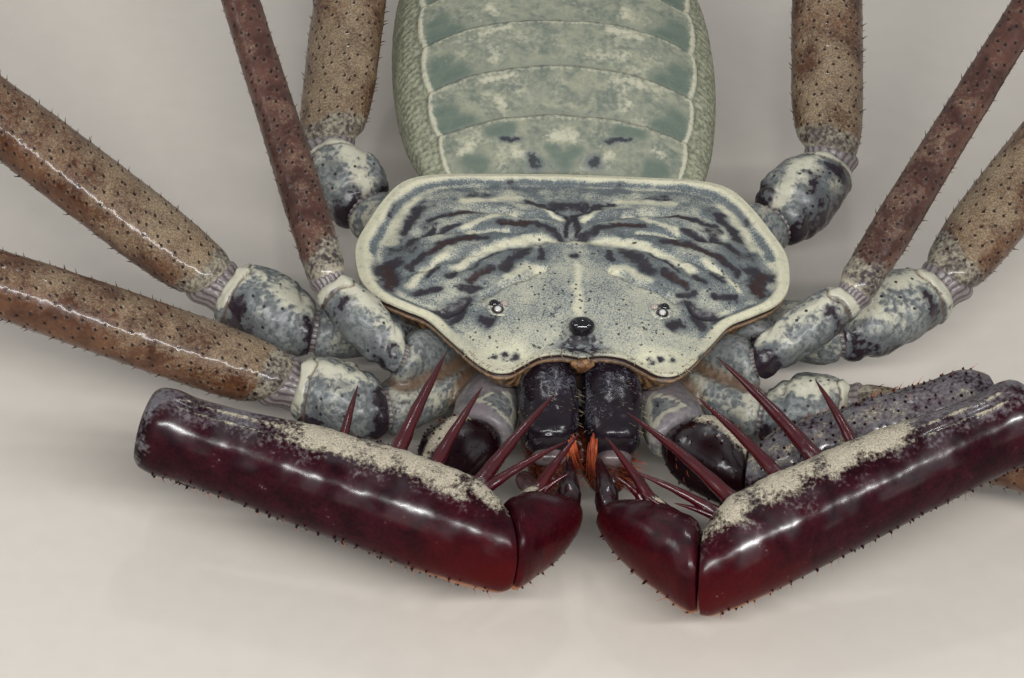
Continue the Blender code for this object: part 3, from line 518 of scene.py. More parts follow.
def marble_finish(name, cream, slate, ink, rust, gloss=0.42):
    """Cuticle with cream over slate, ink and rust marks, fine stipple and pinprick pores."""
    finish = Finish(name, {"Specular IOR Level": 0.25, "Coat Weight": 0.08, "Coat Roughness": 0.3})
    fine = finish.grain(0.17, 4.0, 0.4)
    coarse = finish.grain(0.7, 4.0, 0.6)
    stipple = finish.grain(0.042, 2.0)
    tone = finish.mark("pale") + (fine - 0.5) * 0.7 + (coarse - 0.5) * 0.4 + (stipple - 0.5) * 2.0
    shade = finish.mix(tone.eased(-0.15, 0.4), (0.088, 0.102, 0.107), slate)
    base = finish.mix(tone.eased(0.1, 0.95), shade, cream)
    mark = finish.mark("ink") + (fine - 0.5) * 1.1 + (stipple - 0.5) * 0.8
    base = finish.mix(mark.eased(-0.1, 0.6) * 0.65, base, (0.112, 0.12, 0.121))
    dark = mark.eased(0.4, 0.86)
    brown = (finish.mark("rust") + (coarse - 0.5) * 1.4 + (fine - 0.5) * 0.9).eased(0.35, 0.9)
    colour = finish.mix(dark, base, finish.mix(brown, ink, rust))
    tan = finish.mix(fine.eased(0.35, 0.65), (0.07, 0.03, 0.014), (0.27, 0.145, 0.065))
    colour = finish.mix(finish.mark("tan"), colour, tan)
    pores = finish.mark("pore")
    colour = finish.mix((0.042 - pores).eased(-0.012, 0.012) * 0.9, colour, (0.02, 0.017, 0.018))
    roughness = gloss - dark * 0.1 + fine * 0.14
    height = fine * 0.5 + stipple * 0.35 - dark * 0.35
    return finish.use(colour, roughness, height, 0.03)


CREAM = (0.55, 0.52, 0.375)
SLATE = (0.2, 0.218, 0.207)
INK = (0.026, 0.022, 0.027)
RUST = (0.032, 0.016, 0.015)
shield_marble = marble_finish("shield_marble", CREAM, SLATE, INK, RUST)


def mark_field(x, y, marks):
    """How far inside a set of marks each place is: 1 on a mark's line, 0.5 at its edge, 0 well out."""
    field = np.zeros_like(x)
    for half_width, *line in marks:
        for (ax, ay), (bx, by) in zip(line, line[1:]):
            reach = (bx - ax) ** 2 + (by - ay) ** 2
            t = np.clip(((x - ax) * (bx - ax) + (y - ay) * (by - ay)) / reach, 0, 1)
            away = np.hypot(x - ax - (bx - ax) * t, y - ay - (by - ay) * t)
            field = np.maximum(field, 1 - smooth_step(away, 0.0, 2 * half_width))
    return field


def rim_height(y):
    """Height of the rim: level at the sides, higher behind and at the front."""
    rear = np.maximum(0, (y - 1.0) / 3.4) ** 1.5
    front = np.maximum(0, (-2.5 - y) / 2.0)
    return 4.4 + 0.36 * rear + 0.12 * front


def shield_outline(count):
    """Evenly spread points once round the shield's edge, seen from above."""
    right = np.array(SHIELD_OUTLINE) * (SHIELD_HALF_WIDTH, SHIELD_HALF_LENGTH)
    return closed_curve(np.vstack((right, right[-2:0:-1] * (-1, 1)))[::-1], count)


def once_round(columns):
    """Angles of a ring's columns."""
    return np.linspace(0, 2 * math.pi, columns, endpoint=False)[None, :]


def egg(centre, radii, rows, columns):
    """Egg-shaped shell round an upright axis."""
    polar = np.linspace(-0.97, 0.97, rows)[:, None] * math.pi / 2
    turn = once_round(columns)
    unit_ball = (np.cos(polar) * np.cos(turn), np.cos(polar) * np.sin(turn), np.sin(polar) + 0 * turn)
    return Shell(np.array(centre) + np.stack(unit_ball, axis=-1) * np.array(radii))


def shield_pores():
    """Places of the fine bristle pores: scattered over the front, and a few behind."""
    random = np.random.default_rng(5)
    spots = np.column_stack((random.uniform(-5.2, 5.2, 300), random.uniform(-4.6, 1.2, 300)))
    on_front = np.abs(spots[:, 0]) < 5.4 + spots[:, 1] * 0.45
    spots = spots[on_front & (random.random(300) < 0.4 - 0.25 * spots[:, 1])]
    return np.column_stack((spots, np.zeros(len(spots))))


def make_shield():
    """The marbled head shield."""
    outline = shield_outline(SHIELD_COLUMNS)
    rings = []
    for size, lift in SHIELD_WALL:
        ring = SHIELD_MIDDLE + (outline - SHIELD_MIDDLE) * size
        z = rim_height(ring[:, 1]) - SHIELD_THICKNESS * (1 - lift)
        rings.append(np.column_stack((ring, z)))
    steps = np.linspace(0, 1, SHIELD_ROWS)[1:] ** ROW_CROWDING
    for inward in steps * 0.996:
        ring = outline + (SHIELD_MIDDLE - outline) * inward
        low = rim_height(ring[:, 1])
        dome = read_curve(SHIELD_DOME, inward)[0]
        z = low + (SHIELD_TOP_Z - low) * dome
        roll = RIM_ROLL_HEIGHT * (0.1 + 0.9 * smooth_step(ring[:, 1], -3.2, -1.6))
        z += roll * hump(inward, RIM_ROLL_AT, RIM_ROLL_WIDTH)
        rings.append(np.column_stack((ring, z)))
    shell = Shell(rings)
    x, y, z = (shell.points[..., k] for k in range(3))
    wall = len(SHIELD_WALL)
    inward = np.concatenate((np.zeros(wall), steps))[:, None] + 0 * x
    flat = np.stack((x, y, 0 * z), axis=-1)
    wx = np.abs(x + 0.15 * clouds(flat, 0.42, 1, 4))
    wy = y + 0.15 * clouds(flat, 0.42, 2, 4)
    ink = mark_field(wx, wy, INK_MARKS)
    pale_marks = mark_field(wx, wy, PALE_MARKS)
    slate_marks = mark_field(wx, wy, SLATE_MARKS)
    # Bands that fan out sideways from the pit in the middle
    turn = np.arctan2(wx, wy - 2.0)
    reach = np.hypot(wx, wy - 2.0)
    fan = clouds(np.stack((turn * 5.5, reach / 1.5, 0 * x), axis=-1), 1.0, 4)
    border = read_curve(FRONT_BORDER, np.minimum(np.abs(x), 7))[..., 0]
    front = smooth_step(border - y, -0.25, 0.35)
    streaks = clouds(np.stack((turn * 8, reach / 1.1, 0 * x), axis=-1), 1.0, 7)
    rear_pale = 0.2 + 0.5 * fan + 0.35 * clouds(flat, 0.5, 8)
    lobes = hump(wx, 2.6, 1.5) * hump(wy, -4.3, 0.6)
    front_pale = 0.42 + 0.26 * clouds(flat, 0.9, 6) + 0.55 * lobes
    front_pale -= 0.3 * smooth_step(np.abs(x) - 3.2, -0.4, 0.6) * (y > -3)
    pale = rear_pale * (1 - front) + front_pale * front
    pale = pale + (0.92 - pale) * np.clip(pale_marks * 1.05, 0, 1) - 0.32 * slate_marks
    edge = inward + 0.012 * clouds(flat, 0.7, 3)
    side = 1 - smooth_step(border - y, 0.2, 1.2)
    rim = smooth_step(0.06 - edge, -0.018, 0.018) * (0.3 + 0.7 * side)
    patchy = np.clip(0.45 + 0.9 * clouds(flat, 1.1, 10), 0, 1) * side
    second = hump(edge, 0.115, 0.02) * patchy
    blue = 0.5 * hump(edge, 0.087, 0.014) * side
    blue += 0.5 * hump(edge, 0.15, 0.02) * patchy
    pale = pale + (1.15 - pale) * np.maximum(rim * 1.05, second * 0.65) - 0.5 * blue
    shell.marks["pale"] = np.clip(pale, -0.1, 1.15)
    dark_streaks = 0.68 * smooth_step(streaks, 0.22, 0.6) * (1 - front) * smooth_step(np.abs(x), 0.8, 1.6)
    quiet = (1 - rim) * (1 - np.maximum(second, 0.8 * np.clip(pale_marks * 1.5, 0, 1)))
    eye_shade = (1.2 + 1.7 * clouds(flat, 0.11, 15)) * hump(x, 0, 0.68) * hump(y, -3.55, 0.4)
    cracked = x + 0.1 * clouds(flat, 0.22, 14)
    cracks = mark_field(cracked, y, ((0.02, (-1.0, -2.35), (-1.06, -2.6), (-1.2, -2.75)),
                                     (0.02, (-0.6, -2.2), (-0.74, -2.45), (-0.9, -2.66))))
    eye_shade = np.maximum(eye_shade, cracks * 0.75)
    shell.marks["ink"] = np.maximum(np.maximum(ink * (1 - rim), eye_shade), dark_streaks * quiet)
    shell.marks["rust"] = mark_field(wx, wy, RUST_MARKS)
    # The wall under the rim: a dark line close below the lip, then tan skin
    level = np.arange(len(rings))[:, None] + 0 * x
    under_lip, on_skin = level < WALL_ROWS, level < SKIN_ROWS
    shell.marks["ink"] = np.where(under_lip, np.where(on_skin, 0.2, 1.2), shell.marks["ink"])
    shell.marks["rust"] = np.where(under_lip, 1.0, shell.marks["rust"])
    shell.marks["tan"] = np.where(on_skin, 0.9, np.where(level == WALL_ROWS - 1, 0.35, 0.0))
    shell.marks["pore"] = Shell(flat).near(shield_pores()) + (level < wall + 4)
    furrow = mark_field(wx, wy, ((0.14, (0.0, 2.35), (0.5, 2.7)), (0.12, (0.0, 2.4), (0.0, 1.1)),
                                 (0.16, (0.2, 1.0), (2.2, 0.55), (3.6, -0.5)), (0.14, (0.4, 2.0), (3.0, 2.6)),
                                 (0.14, (1.6, 1.3), (4.6, 1.5)), (0.14, (2.6, 0.4), (5.0, -0.4)),
                                 (0.12, (3.4, -1.9), (4.9, -2.5)), (0.1, (1.0, -0.6), (2.9, -1.7))))
    relief = -0.13 * furrow - 0.03 * ink + 0.035 * clouds(flat, 0.45, 12) * (1 - 0.6 * front)
    # The shield swells under the eyes
    relief += 0.1 * hump(x, 0, 0.55) * hump(y, -3.2, 0.5)
    relief += 0.06 * hump(np.abs(x), 2.4, 0.45) * hump(y, -2.32, 0.5)
    top = smooth_step(inward, 0.08, 0.16)
    shell.push(relief * top)
    # The small tan beak of the front edge, between the jaws
    beak = egg((0.02, -4.07, 4.14), (0.38, 0.15, 0.25), 30, 44)
    beak.points[..., 0] *= smooth_step(beak.points[..., 2], 3.7, 4.3)
    beak.push(0.03 * clouds(beak.points, 0.12, 13))
    beak.marks = {mark: np.ones_like(beak.along) for mark in ("pore", "tan")}
    make_piece("shield_shell", [shell, beak], shield_marble, "cream_plate", "carapace")
    return shell


shield_shell = make_shield()


class Coat:
    """Bristles gathered for one piece: their roots, ways, sizes and places on the skin's chart."""

    def __init__(self):
        self.roots, self.ways, self.sizes, self.charts = [], [], [], []

    def add(self, shell, rows, columns, lean=(0, 0, 0), size=1.0, upright=1.0):
        """Adds a bristle at each given row and column of a shell."""
        low, high = shell.strip
        count_rows, count_columns = shell.along.shape
        v = low + (high - low) * (0.02 + 0.96 * columns / count_columns)
        self.roots.append(shell.points[rows, columns])
        self.ways.append(shell.outward()[rows, columns] * upright + np.asarray(lean))
        self.sizes.append(np.broadcast_to(size, len(rows)))
        self.charts.append(np.column_stack((0.01 + 0.98 * rows / count_rows, v, 0 * v)))


def bristle_tree():
    """Geometry Nodes that stand one bent, tapering bristle on every root."""
    group = bpy.data.node_groups.new("bristles", "GeometryNodeTree")
    kinds = {"Roots": "Geometry", "Thickness": "Float", "Length": "Float", "Bend": "Float",
             "Spread": "Float", "Seed": "Int", "Skin": "Material"}
    ids = {}
    for name, kind in kinds.items():
        made = group.interface.new_socket(name, in_out="INPUT", socket_type="NodeSocket" + kind)
        ids[name] = made.identifier
    result = group.interface.new_socket("Bristles", in_out="OUTPUT", socket_type="NodeSocketGeometry")
    tree = Tree(group)
    given = tree.node("NodeGroupInput")
    inputs = {name: given.beside(name) for name in kinds}
    size = {"Radius Bottom": inputs["Thickness"], "Radius Top": inputs["Thickness"] * 0.12,
            "Depth": inputs["Length"], "Vertices": 5, "Side Segments": 2}
    cone = tree.node("GeometryNodeMeshCone", None, size, "Mesh")
    share = tree.node("ShaderNodeSeparateXYZ", values={"Vector": tree.node("GeometryNodeInputPosition")},
                      output="Z") / inputs["Length"]
    offset = tree.node("ShaderNodeCombineXYZ", values={"X": inputs["Bend"] * share * share})
    bent = tree.node("GeometryNodeSetPosition", values={"Geometry": cone, "Offset": offset})
    patch = {"data_type": "FLOAT2", "domain": "CORNER"}
    marked = tree.node("GeometryNodeStoreNamedAttribute", patch,
                       {"Geometry": bent, "Name": "tuft", "Value": cone.beside("UV Map")})
    named = {}
    for name in ("way", "size", "chart", "tuft"):
        kind = {"data_type": "FLOAT" if name == "size" else "FLOAT_VECTOR"}
        named[name] = tree.node("GeometryNodeInputNamedAttribute", kind, {"Name": name}, "Attribute")
    turned = tree.node("FunctionNodeAlignRotationToVector", {"axis": "Z"}, {"Vector": named["way"]})
    limits = {"Min_001": 1 - inputs["Spread"], "Max_001": 1 + inputs["Spread"], "Seed": inputs["Seed"]}
    chance = tree.node("FunctionNodeRandomValue", {"data_type": "FLOAT"}, limits, "Value_001")
    stood = tree.node("GeometryNodeInstanceOnPoints", values={
        "Points": inputs["Roots"], "Instance": marked, "Rotation": turned, "Scale": named["size"] * chance})
    solid = tree.node("GeometryNodeRealizeInstances", values={"Geometry": stood})
    small = tree.node("ShaderNodeVectorMath", {"operation": "SCALE"},
                      {"Vector": named["tuft"], "Scale": 0.003})
    place = tree.node("ShaderNodeVectorMath", {"operation": "ADD"},
                      {"Vector": named["chart"], "Vector_001": small})
    charted = tree.node("GeometryNodeStoreNamedAttribute", patch,
                        {"Geometry": solid, "Name": "OFBake", "Value": place})
    smooth = tree.node("GeometryNodeSetShadeSmooth", values={"Geometry": charted})
    done = tree.node("GeometryNodeSetMaterial", values={"Geometry": smooth, "Material": inputs["Skin"]})
    tree.node("NodeGroupOutput", values={result.identifier: done})
    return group, ids


bristle_group, bristle_ids = bristle_tree()


def grow(name, coat, material, length, thickness, bend=0.0, spread=0.3, seed=1):
    """Turns a coat into one solid mesh piece; sizes are in millimetres."""
    roots = np.vstack(coat.roots)
    mesh = bpy.data.meshes.new(name)
    mesh.vertices.add(len(roots))
    place_points(mesh, roots)
    mark_points(mesh, "way", np.vstack(coat.ways))
    mark_points(mesh, "chart", np.vstack(coat.charts))
    mark_points(mesh, "size", np.concatenate(coat.sizes))
    rooted = bpy.data.objects.new(name + "_roots", mesh)
    bpy.context.scene.collection.objects.link(rooted)
    growth = rooted.modifiers.new("growth", "NODES")
    growth.node_group = bristle_group
    inputs = {"Thickness": thickness / 2 * MM, "Length": length * MM, "Bend": bend * MM,
              "Spread": spread, "Seed": seed, "Skin": material}
    for socket, value in inputs.items():
        growth[bristle_ids[socket]] = value
    made = bpy.data.meshes.new_from_object(rooted.evaluated_get(bpy.context.evaluated_depsgraph_get()))
    bpy.data.objects.remove(rooted)
    for spare in ("tuft", "chart", "way", "size"):
        if spare in made.attributes:
            made.attributes.remove(made.attributes[spare])
    made.name = name
    return link_piece(name, made)


def bristle_finish(name, dark, light, gloss=0.4):
    """Horny bristle that varies in colour from one to the next."""
    finish = Finish(name, {"Specular IOR Level": 0.5})
    return finish.use(finish.mix(finish.grain(0.5, 2.0).eased(0.3, 0.7), dark, light), gloss)


pale_bristle = bristle_finish("pale_bristle", (0.30, 0.22, 0.14), (0.5, 0.42, 0.3))


def fringe_shield():
    """Fine pale bristles along the front edge of the shield, over the jaws."""
    x, y = (shield_shell.points[..., k] for k in (0, 1))
    rows, columns = [], []
    random = np.random.default_rng(8)
    edge = len(SHIELD_WALL)
    for column in range(SHIELD_COLUMNS):
        if y[edge, column] < -3.2 and abs(x[edge, column]) < 3.4:
            for row in (edge - 1, edge + 2, edge + 5):
                if random.random() < 0.4:
                    rows.append(row)
                    columns.append(column)
    fringe = Coat()
    sizes = random.uniform(0.6, 1.2, len(rows))
    fringe.add(shield_shell, np.array(rows), np.array(columns), (0, -0.9, 0.1), sizes)
    grow("shield_fringe", fringe, pale_bristle, length=0.22, thickness=0.028, bend=0.03, seed=3)


fringe_shield()

# Eyes: a black button of cuticle in the middle of the shield's front, with a lens on each side, and
# a low pale mound at each side with three glassy lenses. Each stands on a swelling of the shield.
MEDIAN_RADII = (0.39, 0.31, 0.29)
MEDIAN_LENS = (0.19, -0.06, 0.09, 0.18)  # place from the button's middle, and radius
LATERAL_EYE = (2.40, -2.32, 4.85)
LATERAL_MOUND = (0.34, 0.36, 0.08)
# Lenses of one side: (outwards, to the rear, above the mound's middle, radius, how clear, how far across);
# above 1, how clear paints a glint
LATERAL_LENSES = (
    (0.03, -0.12, 0.0, 0.16, 1.6, 0.9), (0.12, 0.19, 0.0, 0.15, 0.0, 1.0),
    (-0.18, 0.16, 0.02, 0.13, 1.0, 1.7),
)


def eye_finish():
    """Black glassy cuticle, brown where it thins, on a pale rough mound, with a painted near-white glint and
    painted grey reflection on the front lens.
    """
    finish = Finish("eye_glass", {"Coat Weight": 0.4, "Coat Roughness": 0.1, "Specular IOR Level": 0.35})
    mound = finish.mark("mound")
    fine = finish.grain(0.06, 3.0)
    glass = finish.mix(finish.grain(0.12), (0.003, 0.003, 0.005), (0.012, 0.008, 0.01))
    skin = finish.mix(fine.eased(0.35, 0.6), (0.16, 0.18, 0.18), (0.46, 0.44, 0.33))
    skin = finish.mix(finish.mark("rim").eased(0.1, 0.7) * 0.95, skin, (0.008, 0.009, 0.011))
    clear = finish.mark("clear")
    brown = finish.mix(fine, (0.2, 0.17, 0.15), (0.42, 0.34, 0.28))
    # Clear mark: up to 1 it shows brown, which is the inner lens's own pink tint and the front lens's painted
    # grey reflection; past 1 it paints a near-white glint.
    glass = finish.mix(clear.eased(0.0, 1.0), glass, brown)
    glass = finish.mix((clear + fine * 0.5).eased(1.1, 2.0), glass, (0.56, 0.56, 0.55))
    return finish.use(finish.mix(mound, glass, skin), mound * 0.4 + 0.06, mound * fine, 0.02)


eye_glass = eye_finish()


def make_eyes():
    """The middle button with its two lenses, and the three lenses of each side."""
    button = egg(MEDIAN_EYE, MEDIAN_RADII, 36, 48)
    x, y, rise, radius = MEDIAN_LENS
    lenses = [egg(np.array(MEDIAN_EYE) + (side * x, y, rise), (radius,) * 3, 20, 28) for side in (1, -1)]
    make_piece("eye_button", [button, *lenses], eye_glass, "black_eye", "eyes_median")
    for name, side in (("left", 1), ("right", -1)):
        centre = np.array(LATERAL_EYE) * (side, 1, 1)
        mound = egg(centre, LATERAL_MOUND, 30, 44)
        mound.push(0.02 * clouds(mound.points, 0.12, 3))
        mound.marks["mound"] = np.ones_like(mound.along)
        lenses = []
        for out, back, rise, radius, clear, reach in LATERAL_LENSES:
            lens_place = centre + (side * out, back, rise)
            lens = egg(lens_place, (radius,) * 3, 24, 30)
            # The clear spot is centred on the side of each lens that faces the camera and lamps. On the front
            # lens it is a painted reflection round a painted glint; on the inner lens it is the lens's own
            # pink.
            from_front = lens.points - lens_place - np.array((0, -0.35, 0.94)) * radius
            away = np.linalg.norm(from_front, axis=-1) / radius
            lens.marks["clear"] = clear * smooth_step(away, reach, 0.4 * reach)
            near_lens = np.linalg.norm(mound.points - lens_place, axis=-1)
            ring = smooth_step(near_lens, radius * 1.32, radius * 1.08)
            mound.marks["rim"] = np.maximum(mound.marks.get("rim", 0.0), ring * 1.2)
            lenses.append(lens)
        make_piece(f"side_eyes_{name}", [mound, *lenses], eye_glass, "black_eye", f"eyes_lateral_{name}")


make_eyes()

# Abdomen: a leathery sack under a row of thin overlapping plates. Each plate is grey-green with a
# cream border, and the next one starts from under its rear edge. The flanks are soft folded skin.
ABDOMEN_WIDEST_Y = 10.3
ABDOMEN_HALF_WIDTH = 5.0
ABDOMEN_FRONT_REACH = 10.1
ABDOMEN_REAR_REACH = 9.65
ABDOMEN_REAR_POWERS = (2.3, 0.62)
PLATE_SEAMS = (4.72, 6.5, 8.2, 10.0, 11.8, 13.5, 15.1, 16.5, 17.6, 18.5, 19.15, 19.7)
SEAM_BOW = 0.95
# Height of the back and of the belly along the abdomen: (y, back z, belly z)
ABDOMEN_PROFILE = (
    (4.72, 4.40, 3.95), (5.6, 4.85, 3.05), (6.8, 5.30, 2.35), (8.8, 6.00, 1.75), (10.8, 6.40, 1.60),
    (12.8, 6.50, 1.65), (15.0, 6.20, 1.90), (17.0, 5.50, 2.40), (18.6, 4.65, 2.95), (19.7, 3.95, 3.45),
)
BACK_SQUARENESS = 2.75
BELLY_SQUARENESS = 2.2
ABDOMEN_ROWS = 300
ABDOMEN_COLUMNS = 220
PLATE_EDGE = 0.85  # share of the half width where the plates end and the soft flank starts
# Marks on every plate: (half width, share across, share along), mirrored; the share along counts
# a third, because a plate is about a third as long as half its width
PLATE_TEAL = ((0.075, (0.66, 0.05), (0.78, 0.06)), (0.07, (0.72, 0.14), (0.77, 0.15)))
PLATE_SPOTS = ((0.035, (0.39, 0.1), (0.42, 0.14)), (0.03, (0.3, 0.28), (0.5, 0.28)))
FIRST_INK = ((0.042, (0.2, 0.06), (0.22, 0.07)), (0.018, (0.28, 0.2), (0.42, 0.22)))
FIRST_CREAM = (
    (0.04, (0.27, 0.1), (0.33, 0.13)), (0.045, (0.0, 0.22), (0.08, 0.2)), (0.03, (0.62, 0.2), (0.7, 0.2)),
)
FIRST_TEAL = (
    (0.045, (0.0, 0.07), (0.08, 0.12)), (0.06, (0.6, 0.1), (0.68, 0.12)),
    (0.05, (0.36, 0.27), (0.5, 0.27)),
)


def abdomen_half_width(y):
    """Half the width of the abdomen: round in front, drawn out behind."""
    front = np.sqrt(np.maximum(1 - ((ABDOMEN_WIDEST_Y - y) / ABDOMEN_FRONT_REACH) ** 2, 0))
    fullness, bluntness = ABDOMEN_REAR_POWERS
    back_share = np.clip((y - ABDOMEN_WIDEST_Y) / ABDOMEN_REAR_REACH, 0, 1)
    back = (1 - back_share**fullness) ** bluntness
    return ABDOMEN_HALF_WIDTH * np.where(y < ABDOMEN_WIDEST_Y, front, back)


def squared(wave, power):
    """A sine or cosine drawn out into corners; the lower the power, the squarer the section."""
    return np.sign(wave) * np.abs(wave) ** power


def abdomen_finish():
    """Thin grey-green plate over tissue, with cream borders, teal marks, painted teal shade at each plate's
    front under the plate ahead, and brown seams.
    """
    constants = {"Specular IOR Level": 0.35, "Coat Weight": 0.08, "Coat Roughness": 0.45}
    finish = Finish("abdomen_plate", constants)
    fine = finish.grain(0.13, 4.0)
    coarse = finish.grain(0.6, 4.0, 0.8)
    speck = finish.dots(0.22).eased(0.12, 0.3)
    cream, teal = finish.mark("cream"), finish.mark("teal")
    base = finish.mix(coarse.eased(0.3, 0.7), (0.12, 0.14, 0.112), (0.255, 0.255, 0.182))
    base = finish.mix(fine.eased(0.35, 0.8) * 0.5, base, (0.32, 0.32, 0.24))
    base = finish.mix((1 - speck) * 0.25, base, (0.11, 0.125, 0.105))
    shade = (teal + (coarse - 0.5) * 1.2 + (fine - 0.5) * 0.6).eased(0.2, 1.0)
    base = finish.mix(shade * 0.75, base, (0.07, 0.105, 0.085))
    pale = (cream + (fine - 0.5) * 1.1 + (coarse - 0.5) * 0.5).eased(0.3, 0.95)
    base = finish.mix(pale, base, (0.44, 0.42, 0.31))
    skin = finish.mix(fine.eased(0.3, 0.7), (0.13, 0.138, 0.095), (0.32, 0.32, 0.22))
    base = finish.mix(finish.mark("flank"), base, skin)
    ink = finish.mark("ink") + (fine - 0.5) * 1.2
    base = finish.mix(ink.eased(0.05, 0.55) * 0.6, base, (0.1, 0.12, 0.13))
    base = finish.mix(ink.eased(0.45, 0.9) * 0.95, base, (0.024, 0.026, 0.03))
    base = finish.mix(finish.mark("seam") * 0.85, base, (0.095, 0.068, 0.042))
    return finish.use(base, 0.5 + fine * 0.2, fine * 0.7 + coarse * 0.3, 0.035)


abdomen_plate = abdomen_finish()


def make_abdomen():
    """The eleven rings of the abdomen in one skin."""
    y = np.linspace(PLATE_SEAMS[0], PLATE_SEAMS[-1], ABDOMEN_ROWS)[:, None]
    turn = once_round(ABDOMEN_COLUMNS)
    back, belly = (read_curve(ABDOMEN_PROFILE, y[:, 0])[:, k][:, None] for k in (0, 1))
    half_width = abdomen_half_width(y)
    power = np.where(np.sin(turn) > 0, 2 / BACK_SQUARENESS, 2 / BELLY_SQUARENESS)
    across, upward = squared(np.cos(turn), power), squared(np.sin(turn), power)
    x = -half_width * across
    z = (back + belly) / 2 + (back - belly) / 2 * upward
    shell = Shell(np.stack((x, y + 0 * x, z), axis=-1))
    wide = np.abs(across) + 0 * x
    above = smooth_step(upward + 0 * x, 0.0, 0.2)
    # Every seam bows to the rear in the middle
    bow = SEAM_BOW * half_width / ABDOMEN_HALF_WIDTH * (0.25 - wide**2)
    warped = y - bow + 0.05 * clouds(shell.points, 0.8, 21)
    seams = np.array(PLATE_SEAMS)
    plate = np.clip(np.searchsorted(seams, warped) - 1, 0, len(seams) - 2)
    plate_length = seams[plate + 1] - seams[plate]
    along = np.clip((warped - seams[plate]) / plate_length, 0, 1)
    from_seam, to_seam = along * plate_length, (1 - along) * plate_length
    # Each plate's sides swell out a little and its corners are round
    plate_edge = PLATE_EDGE - 0.025 + 0.035 * np.sin(along * math.pi) ** 0.5
    on_plate = above * (1 - smooth_step(wide, plate_edge - 0.012, plate_edge + 0.012))
    border = above * hump(wide, plate_edge - 0.022, 0.022)
    wx = wide + 0.035 * clouds(shell.points, 0.5, 22, 4)
    wa = along / 3 + 0.03 * clouds(shell.points, 0.5, 27, 4)
    first = plate == 0
    spots = np.where(first, mark_field(wx, wa, FIRST_CREAM), mark_field(wx, wa, PLATE_SPOTS))
    teal = np.where(first, mark_field(wx, wa, FIRST_TEAL), mark_field(wx, wa, PLATE_TEAL))
    rear_line = hump(to_seam, 0.1, 0.1)
    cream = np.maximum(border * 0.95, np.maximum(spots * 0.8, 0.55 * rear_line))
    cream = np.maximum(cream, 0.24 + 0.45 * clouds(shell.points * (1, 1, 0), 0.6, 23) - 0.3 * teal)
    shell.marks["cream"] = np.clip(cream, 0, 1.1) * np.maximum(on_plate, border)
    # Painted shade: teal along the front of each plate, where it lies under the rear edge of the plate ahead.
    shell.marks["teal"] = np.clip(teal + 0.5 * hump(from_seam, 0, 0.3), 0, 1) * on_plate
    shell.marks["ink"] = np.where(first, mark_field(wx, wa, FIRST_INK), 0.0) * on_plate
    seam = hump(from_seam, 0, 0.075) * above
    shell.marks["seam"] = np.clip(seam * on_plate * (y > 5.3) + 0.3 * seam, 0, 1)
    shell.marks["flank"] = (1 - on_plate) * (1 - border)
    folds = np.sin(shell.points[..., 1] * 26 + 3 * clouds(shell.points, 0.9, 24)) * (1 - on_plate)
    overlap = 0.1 * smooth_step(along, 0.0, 1.0) - 0.09 * hump(from_seam, 0, 0.09)
    relief = on_plate * (overlap + 0.02 * clouds(shell.points, 0.5, 25)) + 0.014 * folds + 0.05 * border
    relief += 0.012 * clouds(shell.points, 0.16, 26) - 0.05 * (1 - on_plate) * hump(from_seam, 0, 0.12)
    shell.push(relief * shell.clear_of_ends() - 0.02)
    make_piece("abdomen_shell", [shell], abdomen_plate, "grey_abdomen", "abdomen")


make_abdomen()

# Hips: the breast plate underneath and the ten hips that radiate from it, grown together in one
# skin. Brown creases of soft skin part the hips, and a pleated curtain hangs from the shield.
# Limbs: places of the hip's root, of its joint with the trochanter, and of the next joint
LIMBS = {
    "pedipalp_left": ((2.3, -2.6, 2.4), (2.95, -5.45, 2.55), (4.8, -7.0, 2.5)),
    "pedipalp_right": ((-2.3, -2.6, 2.4), (-2.95, -5.45, 2.55), (-4.6, -7.2, 2.1)),
    "leg_1_left": ((2.6, -1.0, 2.6), (5.3, -2.9, 3.5), (8.1, -1.4, 4.8)),
    "leg_1_right": ((-2.6, -1.0, 2.6), (-5.3, -3.2, 3.65), (-7.3, -1.4, 4.85)),
    "leg_2_left": ((2.0, -1.2, 2.5), (5.5, -3.9, 2.35), (8.1, -3.4, 2.2)),
    "leg_2_right": ((-2.0, -1.2, 2.5), (-5.7, -4.05, 2.35), (-8.3, -3.4, 2.65)),
    "leg_3_left": ((2.0, 0.4, 2.6), (8.0, -0.7, 2.85), (11.1, 1.1, 3.3)),
    "leg_3_right": ((-2.0, 0.4, 2.6), (-7.7, -1.0, 2.85), (-10.3, 0.3, 3.3)),
    "leg_4_left": ((1.7, 1.8, 2.6), (6.5, 4.7, 2.85), (8.3, 6.95, 3.4)),
    "leg_4_right": ((-1.7, 1.8, 2.6), (-5.95, 5.0, 2.85), (-7.0, 6.95, 3.4)),
}
HIP_SIZE = (1.95, 1.75)
FEELER_HIP_SIZE = (1.4, 1.4)
HIP_FORM = ((0.0, 0.62), (0.3, 0.9), (0.75, 1.0), (0.93, 0.98), (1.0, 0.82))
BREAST_PLATE = ((-3.0, 4.3), 2.3, (1.75, 3.8))  # y, half width, z
BREAST_FORM = ((0.0, 0.55), (0.12, 0.9), (0.5, 1.0), (0.88, 0.9), (1.0, 0.6))
SKIN_VOXEL = 0.12
JOINT_GAP = 0.1
# Soft skin under the shield, from its edge inwards: (share of the shield's size, height)
CURTAIN = ((0.955, 4.0), (0.93, 3.85), (0.9, 3.6), (0.85, 3.35), (0.78, 3.15), (0.7, 3.05))
CURTAIN_ROWS = 40
CURTAIN_COLUMNS = 360
CURTAIN_PLEATS = 110


def unit(vector):
    """The vector, or each of an array's vectors, at length 1."""
    return np.asarray(vector, float) / np.linalg.norm(vector, axis=-1, keepdims=True)


